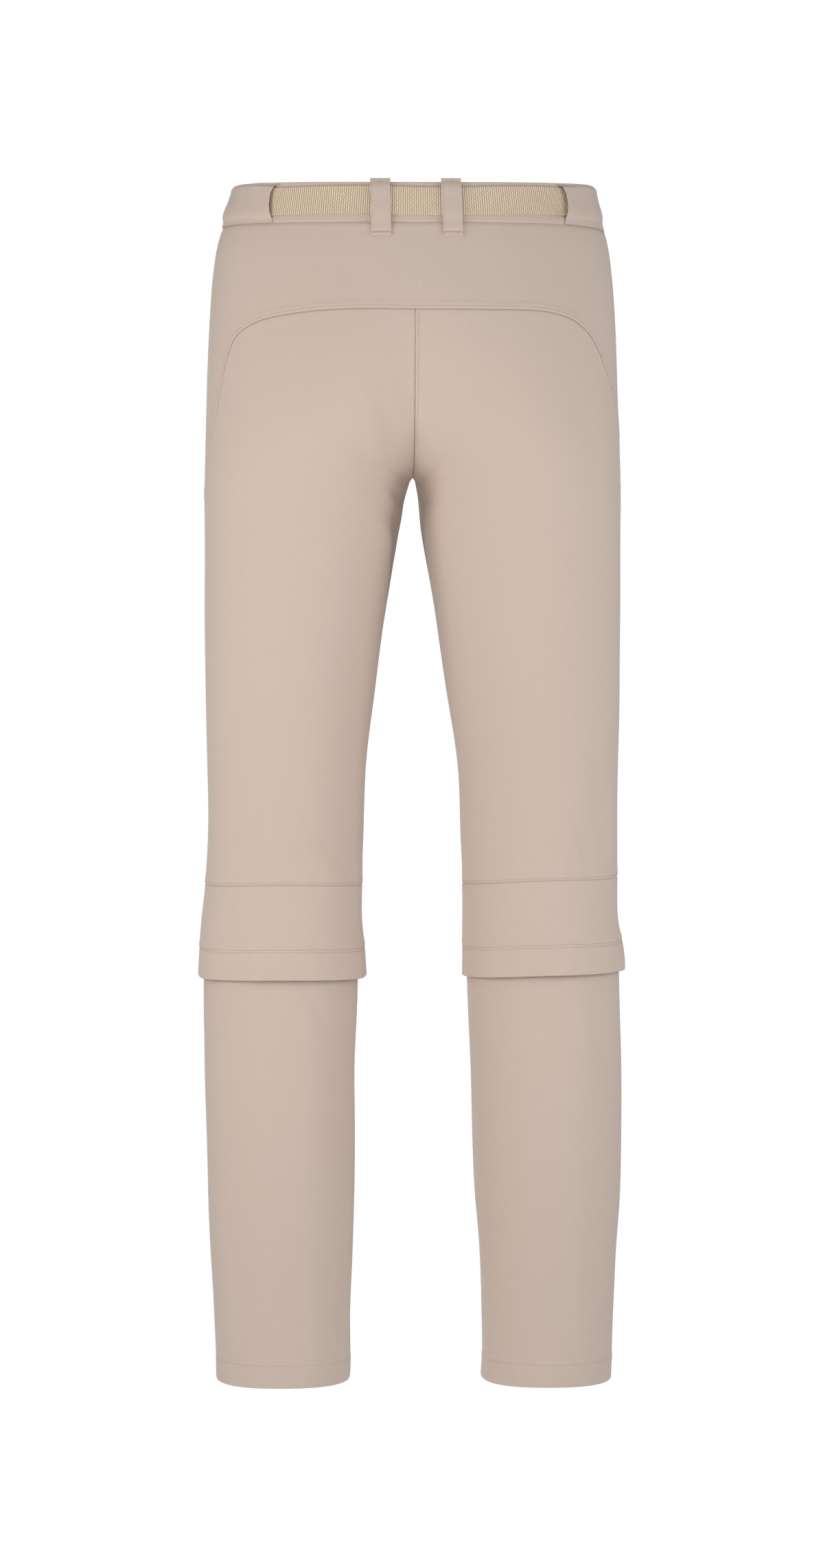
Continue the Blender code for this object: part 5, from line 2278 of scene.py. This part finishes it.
def make_weave() -> bpy.types.NodeTree:
    """The group for a plain weave, with uneven threads both ways, on a map in metres."""
    effect = Effect(
        "plain_weave",
        (("Map", "Vector", (0.0, 0.0, 0.0)), ("Threads", "Float", 2000.0), ("Slubs", "Float", 0.3)),
        (("Height", "Float"), ("Mask", "Float")),
    )
    group, wiring, given, made = effect.new()
    split = wiring.add("ShaderNodeSeparateXYZ", {0: given.outputs["Map"]})
    waves = []
    for axis in (0, 1):
        turn = wiring.math("MULTIPLY", split.outputs[axis], given.outputs["Threads"])
        turn = wiring.math("MULTIPLY", turn, math.pi)
        waves.append(wiring.math("SINE", turn))
    crossing = wiring.math("MULTIPLY", waves[0], waves[1])
    crossing = wiring.math("MULTIPLY_ADD", crossing, 0.5)
    crossing.node.inputs[2].default_value = 0.5
    slubs = []
    for scale in ((1.0, 0.06, 1.0), (0.06, 1.0, 1.0)):
        stretched = wiring.add(
            "ShaderNodeMapping", {"Vector": given.outputs["Map"], "Scale": scale}
        )
        slubs.append(
            wiring.noise(stretched.outputs[0], Scale=1500.0, Detail=2.0, Roughness=0.6)
        )
    both = wiring.math("ADD", *slubs)
    both = wiring.math("MULTIPLY", both, given.outputs["Slubs"])
    height = wiring.math("ADD", crossing, both)
    wiring.tree.links.new(height, made.inputs["Height"])
    wiring.tree.links.new(both, made.inputs["Mask"])
    return group


def make_mottle() -> bpy.types.NodeTree:
    """The group for cloth that took its dye a little unevenly and shows soft wear."""
    effect = Effect(
        "uneven_dye",
        (
            ("Colour", "Color", (0.5, 0.5, 0.5, 1.0)),
            ("Warm", "Color", (0.5, 0.5, 0.5, 1.0)),
            ("Amount", "Float", 0.3),
            ("Scale", "Float", 9.0),
        ),
        (("Colour", "Color"), ("Mask", "Float")),
    )
    group, wiring, given, made = effect.new()
    place = wiring.add("ShaderNodeTexCoord")
    noise = wiring.noise(
        place.outputs["Object"], Scale=given.outputs["Scale"], Detail=3.0, Roughness=0.55
    )
    mask = wiring.spread(noise, source=(0.3, 0.7))
    amount = wiring.math("MULTIPLY", mask, given.outputs["Amount"])
    mixed = wiring.mix(amount, given.outputs["Colour"], given.outputs["Warm"])
    wiring.tree.links.new(mixed, made.inputs["Colour"])
    wiring.tree.links.new(mask, made.inputs["Mask"])
    return group


@dataclass(frozen=True)
class ClothFinish:
    """A dyed plain-woven cloth."""

    name: str
    colour: tuple[float, float, float]
    warm: tuple[float, float, float]
    threads: float = 1900.0
    slubs: float = 0.35
    relief: float = 0.00006
    roughness: float = 0.86
    sheen: float = 0.25
    sheen_roughness: float = 0.45
    specular: float = 0.25
    dye: float = 0.5
    shade: tuple[float, float] = (0.93, 1.07)
    rougher: tuple[float, float] = (-0.05, 0.04)

    def make(self, weave: bpy.types.NodeTree, mottle: bpy.types.NodeTree) -> bpy.types.Material:
        """Make the material.

        Args:
            weave: The plain weave group.
            mottle: The uneven dye group.

        Returns:
            The material.
        """
        material, wiring, shader = new_material(self.name)
        coordinates = wiring.add("ShaderNodeUVMap", uv_map="cloth_map")
        given = {"Map": coordinates.outputs[0], "Threads": self.threads, "Slubs": self.slubs}
        threads = wiring.add("ShaderNodeGroup", node_tree=weave)
        wiring.fill(threads, given)
        dyes = {"Colour": (*self.colour, 1.0), "Warm": (*self.warm, 1.0), "Amount": self.dye}
        dyed = wiring.add("ShaderNodeGroup", node_tree=mottle)
        wiring.fill(dyed, dyes)
        shade = wiring.spread(threads.outputs["Mask"], *self.shade)
        colour = wiring.mix(1.0, dyed.outputs["Colour"], shade, "MULTIPLY")
        ends = [self.roughness + part for part in self.rougher]
        rough = wiring.spread(dyed.outputs["Mask"], *ends)
        wiring.dress(shader, colour, rough, threads.outputs["Height"], self.relief)
        shader.inputs["Sheen Weight"].default_value = self.sheen
        shader.inputs["Sheen Roughness"].default_value = self.sheen_roughness
        shader.inputs["Specular IOR Level"].default_value = self.specular
        return material


@dataclass(frozen=True)
class WebbingFinish:
    """Ribbed webbing, its ribs made of long threads that pass over and under in turn."""

    name: str
    # Colours: the thread colour on the crests of the grains is the webbing's own colour lightened
    # by painted highlight, and the groove colour is painted shade in the grooves between ribs and
    # the breaks between grains.
    thread: tuple[float, float, float] = (0.92, 0.785, 0.595)
    groove_shade: tuple[float, float, float] = (0.470, 0.360, 0.255)
    worn: tuple[float, float, float] = (0.820, 0.665, 0.490)
    rib: float = 0.00188
    grain: float = 0.0036
    slant: float = 0.35
    relief: float = 0.00016
    roughness: float = 0.55
    groove_shade_rougher: float = 0.3
    sheen: float = 0.1
    specular: float = 0.3
    uneven: float = 0.9

    def make(self) -> bpy.types.Material:
        """Make the material on the belt's own map, which counts its ribs."""
        material, wiring, shader = new_material(self.name)
        place = wiring.add("ShaderNodeUVMap", uv_map="cloth_map")
        split = wiring.add("ShaderNodeSeparateXYZ", {0: place.outputs[0]})
        count = wiring.math("DIVIDE", split.outputs[0], self.rib)
        beside = wiring.math("SUBTRACT", wiring.math("FRACT", count), 0.5)
        odd = wiring.math("FLOORED_MODULO", wiring.math("FLOOR", count), 2.0)
        along = wiring.math("DIVIDE", split.outputs[1], self.grain)
        along = wiring.math("ADD", along, wiring.math("MULTIPLY", odd, 0.5))
        along = wiring.math("ADD", along, wiring.math("MULTIPLY", beside, self.slant))
        uneven = wiring.noise(place.outputs[0], Scale=420.0, Detail=2.0)
        along = wiring.math("ADD", along, wiring.math("MULTIPLY", uneven, self.uneven))
        over = wiring.math("SUBTRACT", wiring.math("FRACT", along), 0.5)
        round_beside = wiring.math("COSINE", wiring.math("MULTIPLY", beside, math.pi))
        round_over = wiring.math("COSINE", wiring.math("MULTIPLY", over, math.pi))
        height = wiring.math("MULTIPLY", round_beside, wiring.math("ADD", round_over, 1.5))
        mask = wiring.spread(height, source=(0.5, 2.2))
        cloudy = wiring.noise(place.outputs[0], Scale=45.0, Detail=3.0)
        # Painted shade and highlight: where the relief is low the groove colour darkens the webbing
        # as shade would, and where it is high the lighter thread colour stands in for highlight.
        # The worn colour is mixed in by a random cloud.
        colour = wiring.mix(mask, self.groove_shade, wiring.mix(cloudy, self.thread, self.worn))
        rough = wiring.spread(mask, self.roughness + self.groove_shade_rougher, self.roughness)
        wiring.dress(shader, colour, rough, height, self.relief)
        shader.inputs["Sheen Weight"].default_value = self.sheen
        shader.inputs["Specular IOR Level"].default_value = self.specular
        return material


@dataclass(frozen=True)
class MouldedFinish:
    """A moulded plastic with a fine grain."""

    name: str
    colour: tuple[float, float, float]
    roughness: float = 0.42
    rougher: tuple[float, float] = (-0.06, 0.08)
    shades: tuple[float, float] = (0.92, 1.08)
    relief: float = 0.00004

    def make(self) -> bpy.types.Material:
        """Make the material."""
        material, wiring, shader = new_material(self.name)
        place = wiring.add("ShaderNodeTexCoord").outputs["Object"]
        grain = wiring.noise(place, Scale=2600.0, Detail=3.0)
        cloudy = wiring.noise(place, Scale=120.0)
        pair = (tuple(part * shade for part in self.colour) for shade in self.shades)
        ends = [self.roughness + part for part in self.rougher]
        rough = wiring.spread(cloudy, *ends)
        wiring.dress(shader, wiring.mix(cloudy, *pair), rough, grain, self.relief)
        return material


@dataclass
class Finishes:
    """All the materials of the garment."""

    cloth: bpy.types.Material
    band: bpy.types.Material
    webbing: bpy.types.Material
    tape: bpy.types.Material
    thread: bpy.types.Material
    teeth: bpy.types.Material
    plastic: bpy.types.Material

    @classmethod
    def make(cls) -> "Finishes":
        """Make every material with the shared effects."""
        weave, mottle = make_weave(), make_mottle()
        sand, warm_sand = (0.612, 0.505, 0.430), (0.628, 0.499, 0.428)
        return cls(
            cloth=ClothFinish("sand_cloth", sand, warm_sand).make(weave, mottle),
            band=ClothFinish("sand_band_cloth", sand, warm_sand).make(weave, mottle),
            webbing=WebbingFinish("straw_webbing").make(),
            tape=ClothFinish(
                "zip_tape_cloth", (0.50, 0.41, 0.34), (0.52, 0.41, 0.34), threads=1300.0
            ).make(weave, mottle),
            thread=MouldedFinish("sewing_thread", (0.53, 0.43, 0.36), 0.75).make(),
            teeth=MouldedFinish("zip_teeth_plastic", (0.42, 0.34, 0.28), 0.4).make(),
            plastic=MouldedFinish("buckle_plastic", (0.30, 0.25, 0.21)).make(),
        )


class Lamp(NamedTuple):
    """A square soft light."""

    name: str
    place: tuple[float, float, float]
    size: float
    power: float
    tint: tuple[float, float, float]


@dataclass
class Studio:
    """The camera, the soft lights, the pale floor and the white surround."""

    eye: tuple[float, float, float] = (0.1030, 4.4988, -0.2990)
    target: tuple[float, float, float] = (0.0009, 0.0, -0.5013)
    lens: float = 118.52
    sensor: float = 36.0
    lit: tuple[float, float, float] = (0.0, 0.0, -0.42)
    surround: float = 0.38
    surround_tint: tuple[float, float, float] = (0.97, 0.985, 1.0)
    floor_level: float = -1.25
    floor_size: float = 60.0
    floor_shade: float = 0.9
    lamps: tuple[Lamp, ...] = (
        Lamp("back_light", (0.10, 1.35, -0.28), 0.7, 4.1, (1.0, 0.975, 0.945)),
        Lamp("left_light", (1.03, 0.79, -0.28), 0.7, 6.9, (1.0, 0.975, 0.945)),
        Lamp("right_light", (-1.08, 0.66, -0.28), 0.7, 5.6, (0.98, 0.98, 1.0)),
        Lamp("front_light", (0.20, -1.90, -0.30), 1.2, 14.0, (1.0, 0.975, 0.945)),
    )

    def set_camera(self) -> None:
        """Put the camera behind the garment, at the photograph's height."""
        camera = bpy.data.cameras.new("camera")
        camera.sensor_width = self.sensor
        camera.sensor_fit = "AUTO"
        camera.lens = self.lens
        camera.clip_end = 60.0
        stand = linked("camera", camera)
        self.aim(stand, self.eye, self.target)
        bpy.context.scene.camera = stand

    def aim(
        self,
        stand: bpy.types.Object,
        place: tuple[float, float, float],
        target: tuple[float, float, float],
    ) -> None:
        """Stand a camera or a lamp at a place and turn it to a target.

        Args:
            stand: The camera or the lamp.
            place: The place.
            target: What it faces.
        """
        stand.location = place
        stand.rotation_euler = (Vector(target) - Vector(place)).to_track_quat("-Z", "Y").to_euler()

    def lamp(self, lamp: Lamp) -> None:
        """A square soft light that faces the garment and stays out of the picture."""
        light = bpy.data.lights.new(lamp.name, "AREA")
        light.shape = "SQUARE"
        light.size = lamp.size
        light.energy = lamp.power
        light.color = lamp.tint
        stand = linked(lamp.name, light)
        self.aim(stand, lamp.place, self.lit)
        stand.visible_camera = False

    def build(self) -> None:
        """Set up the whole studio."""
        bpy.context.scene.view_settings.view_transform = "Standard"
        self.set_camera()
        for lamp in self.lamps:
            self.lamp(lamp)
        world = bpy.data.worlds.new("studio")
        bpy.context.scene.world = world
        world.use_nodes = True
        wiring = Wiring(world.node_tree)
        soft = world.node_tree.nodes["Background"]
        soft.inputs["Color"].default_value = (*self.surround_tint, 1.0)
        soft.inputs["Strength"].default_value = self.surround
        white = wiring.add("ShaderNodeBackground", {"Color": (1.0, 1.0, 1.0, 1.0), "Strength": 1.0})
        self.white_in_view(wiring, soft, white, world.node_tree.nodes["World Output"])
        self.lay_floor()

    def white_in_view(
        self, wiring: Wiring, soft: bpy.types.Node, white: bpy.types.Node, out: bpy.types.Node
    ) -> None:
        """Show plain white to the camera while another shader lights the garment.

        Args:
            wiring: The tree.
            soft: The shader that the garment is lit by.
            white: The shader that the camera sees.
            out: The tree's output node.
        """
        path = wiring.add("ShaderNodeLightPath")
        both = wiring.add("ShaderNodeMixShader", {0: path.outputs["Is Camera Ray"]})
        wiring.tree.links.new(soft.outputs[0], both.inputs[1])
        wiring.tree.links.new(white.outputs[0], both.inputs[2])
        wiring.tree.links.new(both.outputs[0], out.inputs["Surface"])

    def lay_floor(self) -> None:
        """A plain pale floor below the hanging garment, with no edge in view."""
        bpy.ops.object.select_all(action="DESELECT")
        bpy.ops.mesh.primitive_plane_add(
            size=self.floor_size, location=(0.0, 0.0, self.floor_level)
        )
        floor = bpy.context.object
        floor.name = "floor"
        material, wiring, shader = new_material("pale_floor")
        shader.inputs["Base Color"].default_value = (*3 * (self.floor_shade,), 1.0)
        shader.inputs["Roughness"].default_value = 0.9
        white = wiring.add("ShaderNodeEmission", {"Color": (1.0, 1.0, 1.0, 1.0), "Strength": 1.0})
        out = material.node_tree.nodes["Material Output"]
        self.white_in_view(wiring, shader, white, out)
        floor.data.materials.append(material)


def corners(box: tuple[Vector, Vector]) -> list[list[float]]:
    """The two corners of a box as plain lists."""
    return [list(corner) for corner in box]


def main() -> None:
    """Build and dress every sub-assembly of the garment in its studio."""
    logging.basicConfig(level=logging.INFO, format="%(message)s")
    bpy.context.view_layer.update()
    Studio().build()
    finishes = Finishes.make()
    stitching = Stitching("seam_stitches")
    bartacks = Stitching("bartacks", length=0.0012, gap=0.0001, thread=0.0006)
    parts = (
        TrouserPanels, Yoke, KneeBands, LowerLegs, Waistband, Tunnels, Belt, BeltLoops, Fly, Zips
    )
    for part in parts:
        part(finishes, stitching, bartacks).build()
    for threads in (stitching, bartacks):
        report(threads.build(finishes.thread), [])
    Buckle(finishes, stitching, bartacks).build()


if __name__ == "__main__":
    main()
